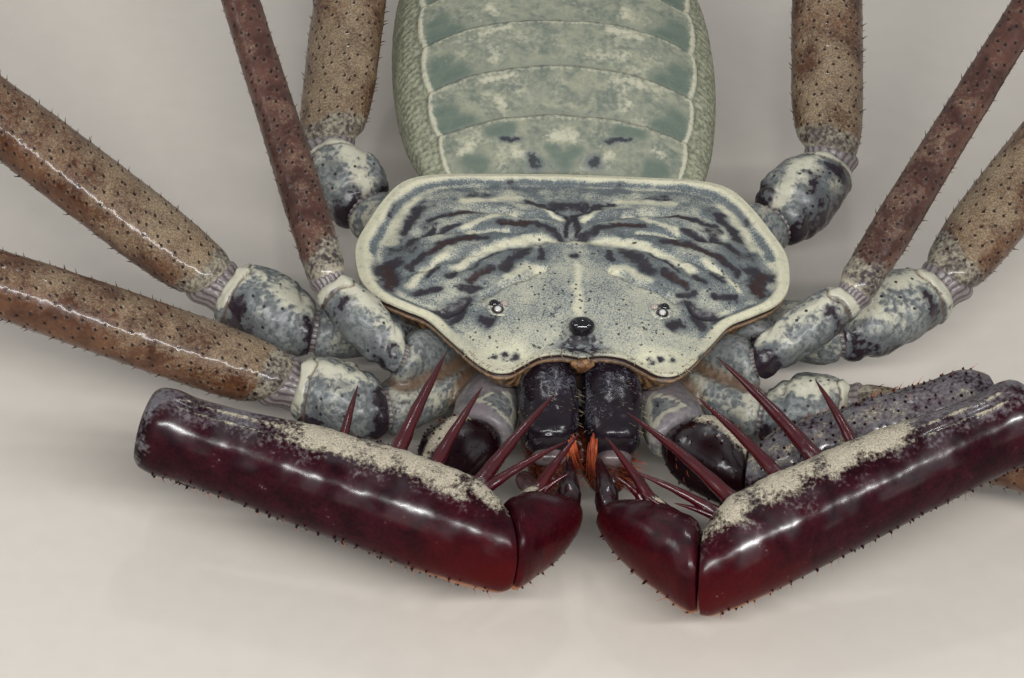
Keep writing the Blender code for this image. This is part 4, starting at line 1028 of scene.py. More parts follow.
def cross_ways(axis):
    """Two unit ways across an axis: the level one, and the one that points upwards."""
    side = unit(np.cross((0, 0, 1), axis))
    return side, np.cross(axis, side)


def off_axis(side, top, level, rise):
    """Places off an axis, by their distances along its level way and its upward way."""
    return side * level[..., None] + top * rise[..., None]


def joint_slip(ring, axis, neighbour, gap):
    """How far a ring's points slide along their axis to end gap off the joint's middle plane."""
    plane = unit(axis + neighbour)
    return (gap - ring @ plane) / (axis @ plane)


def limb(start, end, width, height, form, before=None, after=None, rows=160, columns=72, square=2.1):
    """Shell of one limb segment, each end cut on the plane half way to its neighbour's direction."""
    start, end = np.array(start, float), np.array(end, float)
    axis = unit(end - start)
    side, top = cross_ways(axis)
    share = np.linspace(0, 1, rows)[:, None]
    size = read_curve(form, share[:, 0])
    turn = once_round(columns)
    u, v = squared(np.cos(turn), 2 / square), squared(np.sin(turn), 2 / square)
    ring = off_axis(side, top, size * u * width / 2, size * v * height / 2)
    starts = joint_slip(ring, axis, axis if before is None else before, JOINT_GAP / 2)
    ends = joint_slip(ring, axis, axis if after is None else after, -JOINT_GAP / 2)
    ends = ends + np.linalg.norm(end - start)
    reach = starts + (ends - starts) * share
    shell = Shell(start + ring + axis * reach[..., None])
    shell.axis, shell.side = axis, side
    shell.across, shell.upward = u + 0 * share, v + 0 * share
    return shell


def axis_distance(points, start, end):
    """Distance of each point to the straight line between two places."""
    start, end = np.array(start), np.array(end)
    way = end - start
    t = np.clip((points - start) @ way / (way @ way), 0, 1)
    return np.linalg.norm(points - start - t[..., None] * way, axis=-1)


def voxel_skin(shells, voxel):
    """One closed, softened mesh round overlapping shells, in millimetres."""
    source = bmesh.new()
    for shell in shells:
        rows, columns, _ = shell.points.shape
        ends = shell.points[[0, -1]].mean(axis=1)
        verts = [source.verts.new(p) for p in np.vstack((shell.points.reshape(-1, 3), ends))]
        quads, fans = shell_faces(rows, columns)
        for corners in [*quads.tolist(), *fans.tolist()]:
            source.faces.new([verts[i] for i in corners])
    mesh = bpy.data.meshes.new("rough_skin")
    source.to_mesh(mesh)
    source.free()
    rough = bpy.data.objects.new("rough_skin", mesh)
    bpy.context.scene.collection.objects.link(rough)
    remesh = rough.modifiers.new("skin", "REMESH")
    remesh.mode = "VOXEL"
    remesh.voxel_size = voxel
    soften = rough.modifiers.new("soften", "SMOOTH")
    soften.iterations = 6
    made = bpy.data.meshes.new_from_object(rough.evaluated_get(bpy.context.evaluated_depsgraph_get()))
    bpy.data.objects.remove(rough)
    bpy.data.meshes.remove(mesh)
    return made


def mottle_finish(name, bright, gloss):
    """Hip cuticle: cream, slate and purple-black clouding with black dots and a brown joint line."""
    finish = Finish(name, {"Specular IOR Level": 0.35, "Coat Weight": 0.18, "Coat Roughness": 0.22})
    fine = finish.grain(0.16, 4.0, 0.3)
    coarse = finish.grain(0.95, 3.0, 0.8)
    tone = finish.mark("pale") + (coarse - 0.5) * 1.6 + (fine - 0.5) * 1.0
    slate = finish.mix(fine.eased(0.35, 0.65), (0.085, 0.092, 0.092), (0.2, 0.21, 0.2))
    base = finish.mix(tone.eased(0.35, 0.75), slate, bright)
    ink = finish.mark("ink") + (coarse - 0.5) * 0.8 + (fine - 0.5) * 1.3
    base = finish.mix(ink.eased(0.1, 0.5) * 0.75, base, (0.075, 0.078, 0.085))
    ink = ink.eased(0.4, 0.65)
    base = finish.mix(ink, base, (0.018, 0.011, 0.016))
    base = finish.mix((0.055 - finish.mark("pit")).eased(-0.02, 0.02), base, (0.012, 0.01, 0.012))
    veil = finish.mix(fine, (0.1, 0.08, 0.085), (0.21, 0.18, 0.185))
    base = finish.mix(finish.mark("veil"), base, veil)
    brown = finish.mix(fine, (0.05, 0.026, 0.014), (0.17, 0.1, 0.055))
    base = finish.mix(finish.mark("crease"), base, brown)
    return finish.use(base, gloss + fine * 0.2 - ink * 0.12, fine * 0.6 + coarse * 0.4, 0.04)


hip_mottle = mottle_finish("hip_mottle", (0.38, 0.36, 0.28), 0.34)
# Edges of the cream-bordered plate on top of each grasping arm's hip, mirrored on the other side
HIP_PLATE = (
    (0.065, (3.05, -4.8), (2.55, -4.35), (2.1, -4.2), (2.02, -4.7), (1.98, -5.4), (2.35, -5.3),
     (3.05, -4.8)),
)


def membrane_finish(name, low, high, gloss):
    """Soft joint skin: satin, finely wrinkled across its folds, with painted shade in the troughs of its
    pleats.
    """
    finish = Finish(name, {"Specular IOR Level": 0.5, "Coat Weight": 0.35, "Coat Roughness": 0.3})
    fine = finish.grain(0.09, 4.0)
    fold = finish.mark("fold")
    # Painted shading of the pleats: low colour in their troughs, high colour on their crests.
    colour = finish.mix((fold * 0.7 + fine * 0.5).eased(0.3, 0.9), low, high)
    return finish.use(colour, gloss + fine * 0.2, fine, 0.02)


hip_membrane = membrane_finish("hip_membrane", (0.04, 0.018, 0.008), (0.25, 0.14, 0.06), 0.35)


def directions(name):
    """Unit ways of the hip and of the trochanter of a limb."""
    hip, trochanter, femur = (np.array(place) for place in LIMBS[name])
    return unit(trochanter - hip), unit(femur - trochanter)


def make_hips():
    """The breast plate and hips in one skin, and the curtain of soft skin over them."""
    (front, rear), half_width, (bottom, top) = BREAST_PLATE
    middle = (bottom + top) / 2
    shells = [limb((0, front, middle), (0, rear, middle), 2 * half_width, top - bottom, BREAST_FORM,
                   rows=40, columns=48, square=2.6)]
    for name, (hip, trochanter, _) in LIMBS.items():
        width, height = FEELER_HIP_SIZE if name.startswith("leg_1") else HIP_SIZE
        shells.append(limb(hip, trochanter, width, height, HIP_FORM, after=directions(name)[1],
                           rows=36, columns=36))
    mesh = voxel_skin(shells, SKIN_VOXEL)
    mesh.name = "hips_skin"
    count = len(mesh.vertices)
    points, normals = np.empty(count * 3), np.empty(count * 3)
    mesh.vertices.foreach_get("co", points)
    mesh.vertex_normals.foreach_get("vector", normals)
    points, normals = points.reshape(-1, 3), normals.reshape(-1, 3)
    nearest = np.sort([axis_distance(points, hip, troch) for hip, troch, _ in LIMBS.values()], axis=0)
    crease = 1 - smooth_step(nearest[1] - nearest[0], 0.05, 0.34)
    outer = smooth_step(np.hypot(points[:, 0], points[:, 1]), 3.0, 4.5)
    bulge = 0.05 * clouds(points, 0.8, 31) + 0.02 * clouds(points, 0.2, 32) - 0.12 * crease
    points = points + normals * (bulge * (0.3 + 0.7 * outer) - 0.02)[:, None]
    arm_hips = [axis_distance(points, *LIMBS[f"pedipalp_{side}"][:2]) for side in ("left", "right")]
    veil = smooth_step(np.min(arm_hips, axis=0), 1.05, 0.85) * smooth_step(points[:, 2], 2.3, 2.8)
    drift = 0.13 * clouds(points, 0.4, 38)
    on_top = points[:, 2] > 2.6
    plate = mark_field(np.abs(points[:, 0]) + drift, points[:, 1] - drift, HIP_PLATE) * on_top
    plate = plate * (0.85 + 0.5 * clouds(points, 0.5, 39))
    inside = smooth_step(np.hypot(np.abs(points[:, 0]) - 2.28, points[:, 1] + 4.75), 0.5, 0.3)
    # Painted shade in the cleft between the jaws, added to the ink mark.
    cleft_shade = smooth_step(np.abs(points[:, 0]), 0.9, 0.4) * smooth_step(points[:, 1], -1.5, -2.5)
    values = {
        "crease": crease * 0.9, "ink": 0.1 + 0.6 * clouds(points, 0.9, 34) - plate + 2 * cleft_shade,
        "pit": 1 + 0 * crease,
        "pale": 0.25 + clouds(points, 1.3, 33) * 0.35 + 0.2 * on_top + plate - 0.3 * inside,
        "veil": np.clip(veil * (0.85 + 0.3 * clouds(points, 0.6, 35)) - 1.2 * plate - inside, 0, 1),
    }
    place_points(mesh, points)
    for mark, value in values.items():
        mark_points(mesh, mark, value)
    mesh.shade_smooth()
    mesh.materials.clear()
    mesh.materials.append(hip_mottle)
    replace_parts(link_piece("hips_skin", mesh), "hips_and_sternum")

    outline = shield_outline(CURTAIN_COLUMNS)
    lift = rim_height(outline[:, 1]) - rim_height(0.0)
    steps = np.linspace(0, 1, CURTAIN_ROWS)
    knots = np.linspace(0, 1, len(CURTAIN))
    sizes, heights = (np.interp(steps, knots, values) for values in np.array(CURTAIN)[::-1].T)
    curtain = Shell([np.column_stack((SHIELD_MIDDLE + (outline - SHIELD_MIDDLE) * size, height + lift * step))
                     for size, height, step in zip(sizes, heights, steps)])
    pleats = np.sin(curtain.around * 2 * math.pi * CURTAIN_PLEATS + 9 * clouds(curtain.points, 0.9, 36))
    # This mark follows the pleats' relief below, for their painted shading.
    curtain.marks["fold"] = 0.5 + 0.5 * pleats
    level = np.sin(steps * math.pi)[:, None]
    curtain.push(level * (0.012 * pleats + 0.08 * clouds(curtain.points, 0.7, 37)))
    make_piece("shield_curtain", [curtain], hip_membrane, "grey_underside")


make_hips()

# Jaws: two black, glossy blocks side by side under the front bay of the shield, each with a hooked
# fang folded down at its end, and a brush of rust-red bristles between them.
JAW_X = 0.95
JAW_SIZE = (1.68, 1.62)
JAW_ENDS = ((-3.45, 3.38), (-6.25, 2.78))  # y, z
JAW_FORM = (
    (0.0, 0.94), (0.15, 1.04), (0.4, 1.05), (0.62, 1.03), (0.74, 0.99), (0.84, 0.93), (0.92, 0.83),
    (0.97, 0.72), (1.0, 0.6),
)
FANG_ROOT = (-5.9, 1.885)
FANG_DROP = 0.9
FANG_HOOK = 0.45
FANG_THICKNESS = 0.55
BULB_PLACE = (-6.2, 2.42)  # y, z of the soft bulb at each jaw's end
BULB_RADII = (0.52, 0.3, 0.3)


def jaw_finish():
    """Black lacquer-like cuticle with grey dust on its shoulders and a pinkish, thinner end."""
    finish = Finish("jaw_lacquer", {"Specular IOR Level": 0.14, "Coat Weight": 0.4, "Coat Roughness": 0.22})
    fine = finish.grain(0.1, 4.0)
    coarse = finish.grain(0.5, 3.0, 0.8)
    speck = finish.grain(0.045, 2.0)
    base = finish.mix(coarse, (0.004, 0.003, 0.005), (0.016, 0.009, 0.014))
    dust = finish.mark("dust") + (speck - 0.5) * 1.1 + (fine - 0.5) * 0.8 + (coarse - 0.5) * 1.0
    dust = dust.eased(0.5, 0.95)
    base = finish.mix(dust * 0.6, base, finish.mix(fine, (0.06, 0.066, 0.088), (0.21, 0.215, 0.25)))
    wine = finish.mix(fine.eased(0.3, 0.7), (0.018, 0.004, 0.003), (0.09, 0.02, 0.01))
    base = finish.mix(finish.mark("wine"), base, wine)
    pink = finish.mix(fine, (0.15, 0.11, 0.11), (0.26, 0.2, 0.2))
    base = finish.mix(finish.mark("thin").eased(0.2, 0.9) * 0.9, base, pink)
    return finish.use(base, 0.18 + dust * 0.45 + fine * 0.08, fine * 0.4 + dust * 0.4, 0.015)


jaw_lacquer = jaw_finish()
rust_bristle = bristle_finish("rust_bristle", (0.2, 0.026, 0.008), (0.55, 0.11, 0.03))


def make_fang(side):
    """Shell of one hooked claw, drawn down and back from the jaw's end."""
    t = np.linspace(0, 1, 40)[:, None]
    turn = once_round(24)
    root_y, root_z = FANG_ROOT
    y, z = root_y + FANG_HOOK * t * t, root_z - FANG_DROP * t
    radius = FANG_THICKNESS / 2 * (1 - 0.9 * t**1.3) * (0.85 + 0.15 * np.cos(turn))
    x = side * JAW_X + radius * 0.8 * np.cos(turn)
    return Shell(np.stack((x, y - radius * np.sin(turn), z + 0 * radius), axis=-1))


def some_sites(where, count, random):
    """Rows and columns of about count points of a shell, drawn from those where the mask holds."""
    rows, columns = np.nonzero(where)
    chosen = random.random(len(rows)) < count / max(len(rows), 1)
    return rows[chosen], columns[chosen]


def make_jaws():
    """Both jaw blocks and their fangs, the brush between them and the down on top."""
    brush, down = Coat(), Coat()
    for name, side in (("left", 1), ("right", -1)):
        root, tip = ((side * JAW_X, *end) for end in JAW_ENDS)
        jaw = limb(root, tip, *JAW_SIZE, JAW_FORM, rows=120, columns=92, square=2.6)
        outer = side * jaw.across
        lumps = 0.06 * clouds(jaw.points, 0.8, 41) + 0.014 * clouds(jaw.points, 0.2, 42)
        groove = -0.03 * hump(outer, 0.1, 0.2) * (jaw.upward > 0)
        jaw.push((lumps + groove) * jaw.clear_of_ends(0.05, 0.97))
        shoulder = hump(jaw.upward, 0.5, 0.3) * smooth_step(np.abs(jaw.across), 0.55, 0.95)
        dust = 0.35 * shoulder + 0.16 + 0.36 * smooth_step(jaw.along, 0.75, 0.3) * (jaw.upward > 0.5)
        jaw.marks["dust"] = dust + 0.35 * clouds(jaw.points, 0.8, 48)
        bulb = egg((side * JAW_X, *BULB_PLACE), BULB_RADII, 24, 36)
        bulb.marks["thin"] = 0.6 + 0.3 * clouds(bulb.points, 0.3, 43)
        make_piece(f"jaw_{name}", [jaw, bulb], jaw_lacquer, "black_jaw", f"chelicera_{name}")
        fang = make_fang(side)
        fang.marks["thin"] = smooth_step(fang.along, 0.1, 0.0) * 0.6
        make_piece(f"fang_{name}_claw", [fang], jaw_lacquer, "maroon_palp", f"fang_{name}")
        random = np.random.default_rng(60 + side)
        inner_end = (outer < -0.7) & (jaw.along > 0.9) & (jaw.along < 0.985)
        rows, columns = some_sites(inner_end & (jaw.upward > -0.9) & (jaw.upward < 0.6), 90, random)
        sizes = random.uniform(0.5, 1.1, len(rows))
        brush.add(jaw, rows, columns, (-0.12 * side, -0.75, -1.5), sizes, upright=0.25)
        back = (jaw.upward > 0.1) & (jaw.along > 0.3) & (jaw.along < 0.97)
        rows, columns = some_sites(back, 60, random)
        down.add(jaw, rows, columns, (0, -0.9, 0), random.uniform(0.5, 1.2, len(rows)))
    grow("jaw_brush", brush, rust_bristle, length=0.75, thickness=0.04, bend=0.12, seed=5)
    grow("jaw_down", down, pale_bristle, length=0.18, thickness=0.016, bend=0.05, seed=6)


make_jaws()

# Mouth parts: under the jaws each grasping arm's hip sends a wine-brown lobe forward, with a pale
# soft tip and rust-coloured bristles, and between them lies the narrow lip.
LOBE_ENDS = ((0.95, -3.7, 1.95), (0.72, -7.0, 1.75))
LOBE_SIZE = (1.5, 1.25)
LIP_ENDS = ((0.0, -3.6, 2.2), (0.0, -6.3, 2.3))
LIP_SIZE = (0.7, 0.6)
TIP_PLACE = (1.62, -6.65, 1.85)
TIP_RADII = (0.3, 0.5, 0.09)
LOBE_FORM = ((0.0, 0.5), (0.1, 0.85), (0.5, 1.0), (0.8, 0.85), (0.95, 0.5), (1.0, 0.2))


def make_mouth_parts():
    """The two lobes with their soft tips, the lip, and the bristles on them."""
    shells, whiskers = [limb(*LIP_ENDS, *LIP_SIZE, LOBE_FORM, rows=60, columns=40)], Coat()
    for side in (1, -1):
        root, end = (np.array(place) * (side, 1, 1) for place in LOBE_ENDS)
        lobe = limb(root, end, *LOBE_SIZE, LOBE_FORM, rows=90, columns=64)
        soft = egg(np.array(TIP_PLACE) * (side, 1, 1), TIP_RADII, 30, 40)
        soft.push(0.03 * clouds(soft.points, 0.35, 44))
        soft.marks["thin"] = 0.34 + 0.25 * clouds(soft.points, 0.4, 45)
        soft.marks["wine"] = 0.7 + 0 * soft.along
        shells += [lobe, soft]
    for shell in shells:
        if "thin" not in shell.marks:
            shell.push(0.05 * clouds(shell.points, 0.6, 46) + 0.02 * clouds(shell.points, 0.2, 47))
            shell.marks["thin"] = 0.0 * shell.along
            shell.marks["wine"] = 1.0 + shell.marks["thin"]
    make_piece("mouth_parts", shells, jaw_lacquer, "black_jaw")
    random = np.random.default_rng(65)
    for shell in (shells[1], shells[3]):
        front = (shell.upward > -0.2) & (shell.along > 0.45) & (shell.along < 0.97)
        rows, columns = some_sites(front, 90, random)
        whiskers.add(shell, rows, columns, (0, -1.0, 0.2), random.uniform(0.5, 1.2, len(rows)))
    grow("mouth_bristles", whiskers, rust_bristle, length=0.4, thickness=0.03, bend=0.1, seed=12)


make_mouth_parts()

# Grasping arms: five segments each of thick wine-red cuticle, polished on top, with long thorns on
# the inner edge. Pale crust has dried on round the thorns, and granules line the lower edge.
ARMS = {
    "left": {
        "femur": (4.8, -7.0, 2.5), "femur_end": (12.1, -5.2, 4.3), "patella": (12.95, -6.7, 4.75),
        "tibia": (3.1, -11.5, 2.6), "tarsus": (0.62, -9.0, 2.65), "tip": (0.42, -6.9, 3.0),
    },
    "right": {
        "femur": (-4.6, -7.2, 2.1), "femur_end": (-12.2, -5.9, 2.2), "patella": (-12.8, -7.05, 4.0),
        "tibia": (-2.5, -11.1, 3.0), "tarsus": (-0.58, -9.15, 2.85), "tip": (-0.42, -6.9, 3.0),
    },
}
ARM_SIZES = {
    "trochanter": (2.1, 2.1), "femur": (1.9, 2.05), "patella": (2.3, 2.75), "tibia": (2.0, 2.45),
    "tarsus": (0.66, 0.85),
}
# Swelling of each segment along its length: (share of length, share of full thickness)
ARM_FORMS = {
    "trochanter": ((0.0, 0.66), (0.18, 0.94), (0.55, 1.04), (0.85, 0.92), (1.0, 0.68)),
    "femur": ((0.0, 0.7), (0.08, 0.94), (0.35, 1.0), (0.75, 0.96), (0.95, 0.84), (1.0, 0.6)),
    "patella": ((0.0, 0.80), (0.012, 0.9), (0.03, 0.945), (0.12, 0.93), (0.25, 0.945), (0.6, 1.03),
                (0.82, 1.07), (0.93, 1.02), (0.98, 0.95), (1.0, 0.86)),
    "tibia": ((0.0, 0.88), (0.04, 0.98), (0.12, 1.03), (0.3, 1.0), (0.5, 0.96), (0.75, 0.78),
              (0.93, 0.56), (1.0, 0.44)),
    "tarsus": ((0.0, 0.7), (0.15, 1.0), (0.5, 0.8), (0.75, 0.5), (1.0, 0.16)),
}
# Thorns of an arm's segment whose roots stand at one share of its height from its middle:
# (share along from the elbow, place of the tip, thickness at the root)
ARM_THORNS = {
    ("left", "patella", 0.26): (
        (0.49, (6.7, -5.45, 4.9), 0.34), (0.59, (3.87, -4.75, 5.1), 0.46),
        (0.70, (3.15, -6.5, 5.0), 0.40), (0.84, (1.07, -7.0, 4.8), 0.42),
        (0.89, (1.1, -8.9, 4.2), 0.32), (0.9, (2.35, -9.75, 3.7), 0.22),
    ),
    ("right", "patella", 0.26): (
        (0.51, (-6.65, -5.9, 4.7), 0.30), (0.65, (-4.03, -4.6, 5.0), 0.46),
        (0.75, (-3.06, -6.1, 4.9), 0.40), (0.87, (-0.93, -6.2, 4.8), 0.42),
        (0.88, (-0.65, -8.0, 4.5), 0.32),
    ),
    ("left", "patella", -0.22): (
        (0.52, (6.3, -8.1, 2.3), 0.26), (0.64, (4.7, -8.4, 2.0), 0.34), (0.82, (2.9, -8.9, 1.9), 0.32),
    ),
    ("right", "patella", -0.22): (
        (0.54, (-6.2, -8.4, 2.5), 0.26), (0.67, (-4.7, -8.5, 2.1), 0.34), (0.85, (-2.5, -8.8, 1.9), 0.30),
    ),
    ("left", "tibia", 0.2): (
        (0.7, (0.48, -7.4, 4.2), 0.34), (0.42, (1.4, -9.7, 4.0), 0.2), (0.85, (0.72, -8.7, 3.8), 0.2),
    ),
    ("right", "tibia", 0.2): (
        (0.7, (-0.28, -7.3, 4.2), 0.34), (0.46, (-1.2, -9.5, 4.1), 0.2), (0.85, (-0.6, -8.6, 3.8), 0.2),
    ),
}
THORN_INSET = 0.36  # share of the segment's width from its middle to a thorn's root
THORN_ROOT = 0.5  # millimetres of each thorn inside the segment
THORN_FORM = (
    (-0.3, 2.3), (0.0, 1.95), (0.06, 1.5), (0.15, 1.16), (0.3, 0.95), (0.5, 0.74), (0.75, 0.47),
    (0.92, 0.22), (1.0, 0.05),
)
ARM_GRIDS = {
    "trochanter": (90, 80), "femur": (150, 80), "patella": (270, 120), "tibia": (140, 92), "tarsus": (70, 44),
}


def arm_finish():
    """Wine-red lacquered cuticle that clears to red where it is thin, with dry crust on it, painted
    near-black shade where it lies in shadow, and a painted orange glow along its lower edge.
    """
    constants = {"Specular IOR Level": 0.08, "Coat Roughness": 0.21, "Coat IOR": 1.75}
    finish = Finish("arm_lacquer", constants)
    fine = finish.grain(0.12, 4.0)
    coarse = finish.grain(0.8, 4.0, 0.6)
    grit = finish.grain(0.05, 3.0)
    tone = (coarse * 0.6 + fine * 0.4).eased(0.3, 0.7)
    base = finish.mix(tone, (0.009, 0.0015, 0.0035), (0.032, 0.004, 0.008))
    red = finish.mark("red") + (coarse - 0.5) * 0.5
    base = finish.mix(red.eased(0.2, 1.1), base, (0.058, 0.0018, 0.0025))
    base = finish.mix(red.eased(0.9, 1.7), base, (0.036, 0.002, 0.0052))
    # Painted shade: this mark darkens to near black the parts of the arm that lie in shadow.
    base = finish.mix(finish.mark("deep"), base, (0.006, 0.0015, 0.0025))
    grey = (finish.mark("grey") + (fine - 0.5) * 1.3 + (coarse - 0.5) * 1.3).eased(0.36, 1.0)
    base = finish.mix(grey * 0.75, base, finish.mix(fine, (0.06, 0.05, 0.062), (0.21, 0.195, 0.2)))
    # Painted glow: bright orange along the lower edge, as of light through thin cuticle.
    glow = finish.mark("edge").eased(0.2, 1.0)
    base = finish.mix(glow * 0.85, base, (0.42, 0.16, 0.06))
    crust = finish.mark("crust") + (fine - 0.5) * 0.9 + (grit - 0.5) * 0.3 + (coarse - 0.5) * 1.1
    crust = crust.eased(0.31, 0.7)
    dried = finish.mix(grit.eased(0.3, 0.7), (0.27, 0.23, 0.175), (0.47, 0.42, 0.32))
    flecks = (0.17 - finish.dots(0.3) + (grit - 0.5) * 0.3).eased(0.0, 0.12)
    flecks = flecks * (coarse + finish.mark("crust") * 0.4).eased(0.55, 0.75)
    base = finish.mix(flecks * 0.6, base, (0.19, 0.155, 0.14))
    base = finish.mix(crust, base, dried)
    granule = finish.mark("granule")
    base = finish.mix((0.05 - granule).eased(-0.02, 0.02) * 0.8, base, (0.01, 0.004, 0.006))
    coat = finish.mark("shine") * 0.95 * (1 - crust)
    finish.tree.links.new(coat.socket, finish.shader.inputs["Coat Weight"])
    height = crust * (0.7 + grit) + fine * 0.1 + coarse * 0.1
    return finish.use(base, 0.24 + crust * 0.6 + fine * 0.08, height, 0.05)


arm_lacquer = arm_finish()


def thorn(base, tip, thickness, rows=34, columns=14):
    """Shell of one thorn with a flared root, bowed a little towards its back."""
    base, tip = np.array(base, float), np.array(tip, float)
    axis, length = unit(tip - base), np.linalg.norm(tip - base)
    share = np.linspace(-THORN_ROOT / length, 1, rows)[:, None]
    turn = once_round(columns)
    radius = read_curve(THORN_FORM, share[:, 0]) * thickness / 2 * (1 + 0.04 * np.sin(share * 30))
    bow = 0.035 * length * np.sin(np.clip(share, 0, 1) * math.pi)
    ring = off_axis(*cross_ways(axis), radius * np.cos(turn), radius * np.sin(turn) + bow)
    shell = Shell(base + axis * (share * length)[..., None] + ring)
    fade = smooth_step(share + 0 * turn, 0.16, 0.02)
    shell.marks["crust"] = fade * (0.6 + 0.4 * clouds(shell.points, 0.25, 51))
    shell.marks["grey"] = 0.4 * smooth_step(share + 0 * turn, 0.35, 0.05)
    shell.marks["red"] = 1.35 + 0.25 * clouds(shell.points, 0.6, 57)
    shell.marks["granule"] = np.ones_like(radius * turn)
    shell.marks["shine"] = 0.6 * shell.marks["granule"]
    return shell


def arm_ways(name):
    """Ends and unit ways of the segments of an arm, by name."""
    places = ARMS[name]
    hip, trochanter, femur = LIMBS["pedipalp_" + name]
    ends = {
        "hip": (hip, trochanter), "trochanter": (trochanter, femur), "femur": (femur, places["femur_end"]),
        "patella": (places["patella"], places["tibia"]), "tibia": (places["tibia"], places["tarsus"]),
        "tarsus": (places["tarsus"], places["tip"]),
    }
    return ends, {part: unit(np.array(end) - start) for part, (start, end) in ends.items()}


def staggered(shell, spacing, seed, low=0.04, high=0.96):
    """Rows and columns of sites in staggered rings over a shell, each a little off its place."""
    random = np.random.default_rng(seed)
    rows, columns, _ = shell.points.shape
    middle = shell.points.mean(axis=1)
    length = np.linalg.norm(np.diff(middle, axis=0), axis=-1).sum()
    picked = []
    count = max(int(length * (high - low) / (spacing * 0.87)), 1)
    for k in range(count):
        i = (low + (high - low) * (k + 0.5) / count) * (rows - 1)
        ring = shell.points[int(i)]
        number = max(int(np.linalg.norm(np.roll(ring, -1, axis=0) - ring, axis=-1).sum() / spacing), 3)
        turns = (np.arange(number) + 0.5 * (k % 2) + random.uniform(-0.28, 0.28, number)) / number
        offs = i + random.uniform(-0.3, 0.3, number) * spacing / length * (rows - 1)
        offs = np.clip(np.round(offs), 0, rows - 1)
        picked.append(np.column_stack((offs, np.round(turns * columns) % columns)))
    picked = np.vstack(picked).astype(int)
    return picked[:, 0], picked[:, 1]


def arm_marks(part, shell, inner):
    """Marks and relief of one arm segment; inner is 1 on the thorny side and -1 on the outer face."""
    along, up = shell.along, shell.upward
    turn = np.arctan2(up, inner)  # 0 on the inner edge, a quarter turn on top, half on the outer face
    noise, fine = clouds(shell.points, 0.9, 52), clouds(shell.points, 0.22, 53)
    top = hump(turn, 1.25, 0.42)
    relief = 0.004 * fine + 0.014 * noise + 0.013 * clouds(shell.points, 0.5, 54, 1)
    marks = {mark: np.zeros_like(along) for mark in ("crust", "grey", "red", "edge", "deep")}
    beads = 0.6 + cloud(shell.points, 0.62, 55) + 0.3 * cloud(shell.points, 0.3, 56)
    marks["shine"] = np.clip(beads, 0.1, 1) ** 2.5 * smooth_step(up, 0.35, 0.6)
    if part == "patella":
        distal = smooth_step(along, 0.26, 0.45)
        lines = hump(turn, 1.85 - 0.3 * along, 0.07) + hump(turn, 1.5 - 0.1 * along, 0.09)
        lines = np.clip(lines, 0, 1) * smooth_step(along, 0.02, 0.1)
        band = hump(turn, 1.15, 0.68, 4)
        crusted = band * (0.78 + 0.45 * noise + 0.2 * fine) * (1 - 0.35 * smooth_step(along, 0.93, 1.0))
        marks["crust"] = crusted * distal + lines * (0.58 + 0.4 * fine + 0.2 * noise) * (1 - distal)
        ends = 0.5 * smooth_step(along, 0.05, 0.01) + 0.3 * smooth_step(along, 0.1, 0.02) * (up < 0.2)
        haze = hump(turn, 1.35, 0.85, 4) * (0.62 + 0.3 * noise)
        marks["grey"] = haze * (1.15 - 0.4 * distal) + ends * (0.8 + 1.2 * noise)
        # Painted shade on the square-cut elbow end.
        marks["deep"] = 0.85 * smooth_step(along, 0.05, 0.012)
        marks["red"] = smooth_step(along, 0.4, 1.0) * (0.9 - 0.5 * up)
        # Painted glow along the lower edge of the distal half.
        marks["edge"] = smooth_step(-up, 0.42, 0.72) * smooth_step(along, 0.6, 0.92)
        relief += 0.04 * lines * (1 - distal)
        crest = hump(turn, 1.15, 0.5) * smooth_step(along, 0.08, 0.5) * smooth_step(along, 1.0, 0.9)
        relief += 0.3 * crest
        relief -= 0.03 * hump(turn, 1.0, 0.12) * (1 - distal)
    if part == "tibia":
        marks["red"] = 0.7 - 0.3 * up
        marks["shine"] *= 0.55
        marks["crust"] = top * (0.25 + 0.5 * noise) * smooth_step(along, 0.6, 0.1)
        # Painted glow along the lower edge, fading towards the tarsus.
        marks["edge"] = smooth_step(-up, 0.42, 0.72) * (1.0 - 0.5 * along)
    if part == "tarsus":
        marks["red"] = 0.3 + 0.2 * along
        # Painted shade over the whole tarsus.
        marks["deep"] = 0.5 + 0 * along
    if part == "femur":
        marks["grey"] = 0.5 + 0.4 * noise + 0.45 * up
        # Painted shade towards the femur's root.
        marks["deep"] = 0.5 * smooth_step(along, 0.6, 0.1)
        marks["crust"] = 0.45 * smooth_step(up, 0.2, 0.9) * (0.7 + 0.8 * noise)
        relief += 0.012 * fine
    if part == "trochanter":
        ridge = hump(turn, 1.35, 0.3) * smooth_step(along, 0.05, 0.2)
        marks["crust"] = ridge * (0.85 + 0.2 * noise)
        marks["grey"] = 0.35 * smooth_step(along, 0.25, 0.1) + 0.2 * ridge
        # Painted shade over the whole trochanter.
        marks["deep"] = 0.85 + 0 * along
        relief += 0.07 * ridge
    relief += 0.05 * np.clip(marks["crust"] - 0.35, 0, 0.6) * (1 + 1.2 * fine)
    shell.marks.update(marks)
    return relief


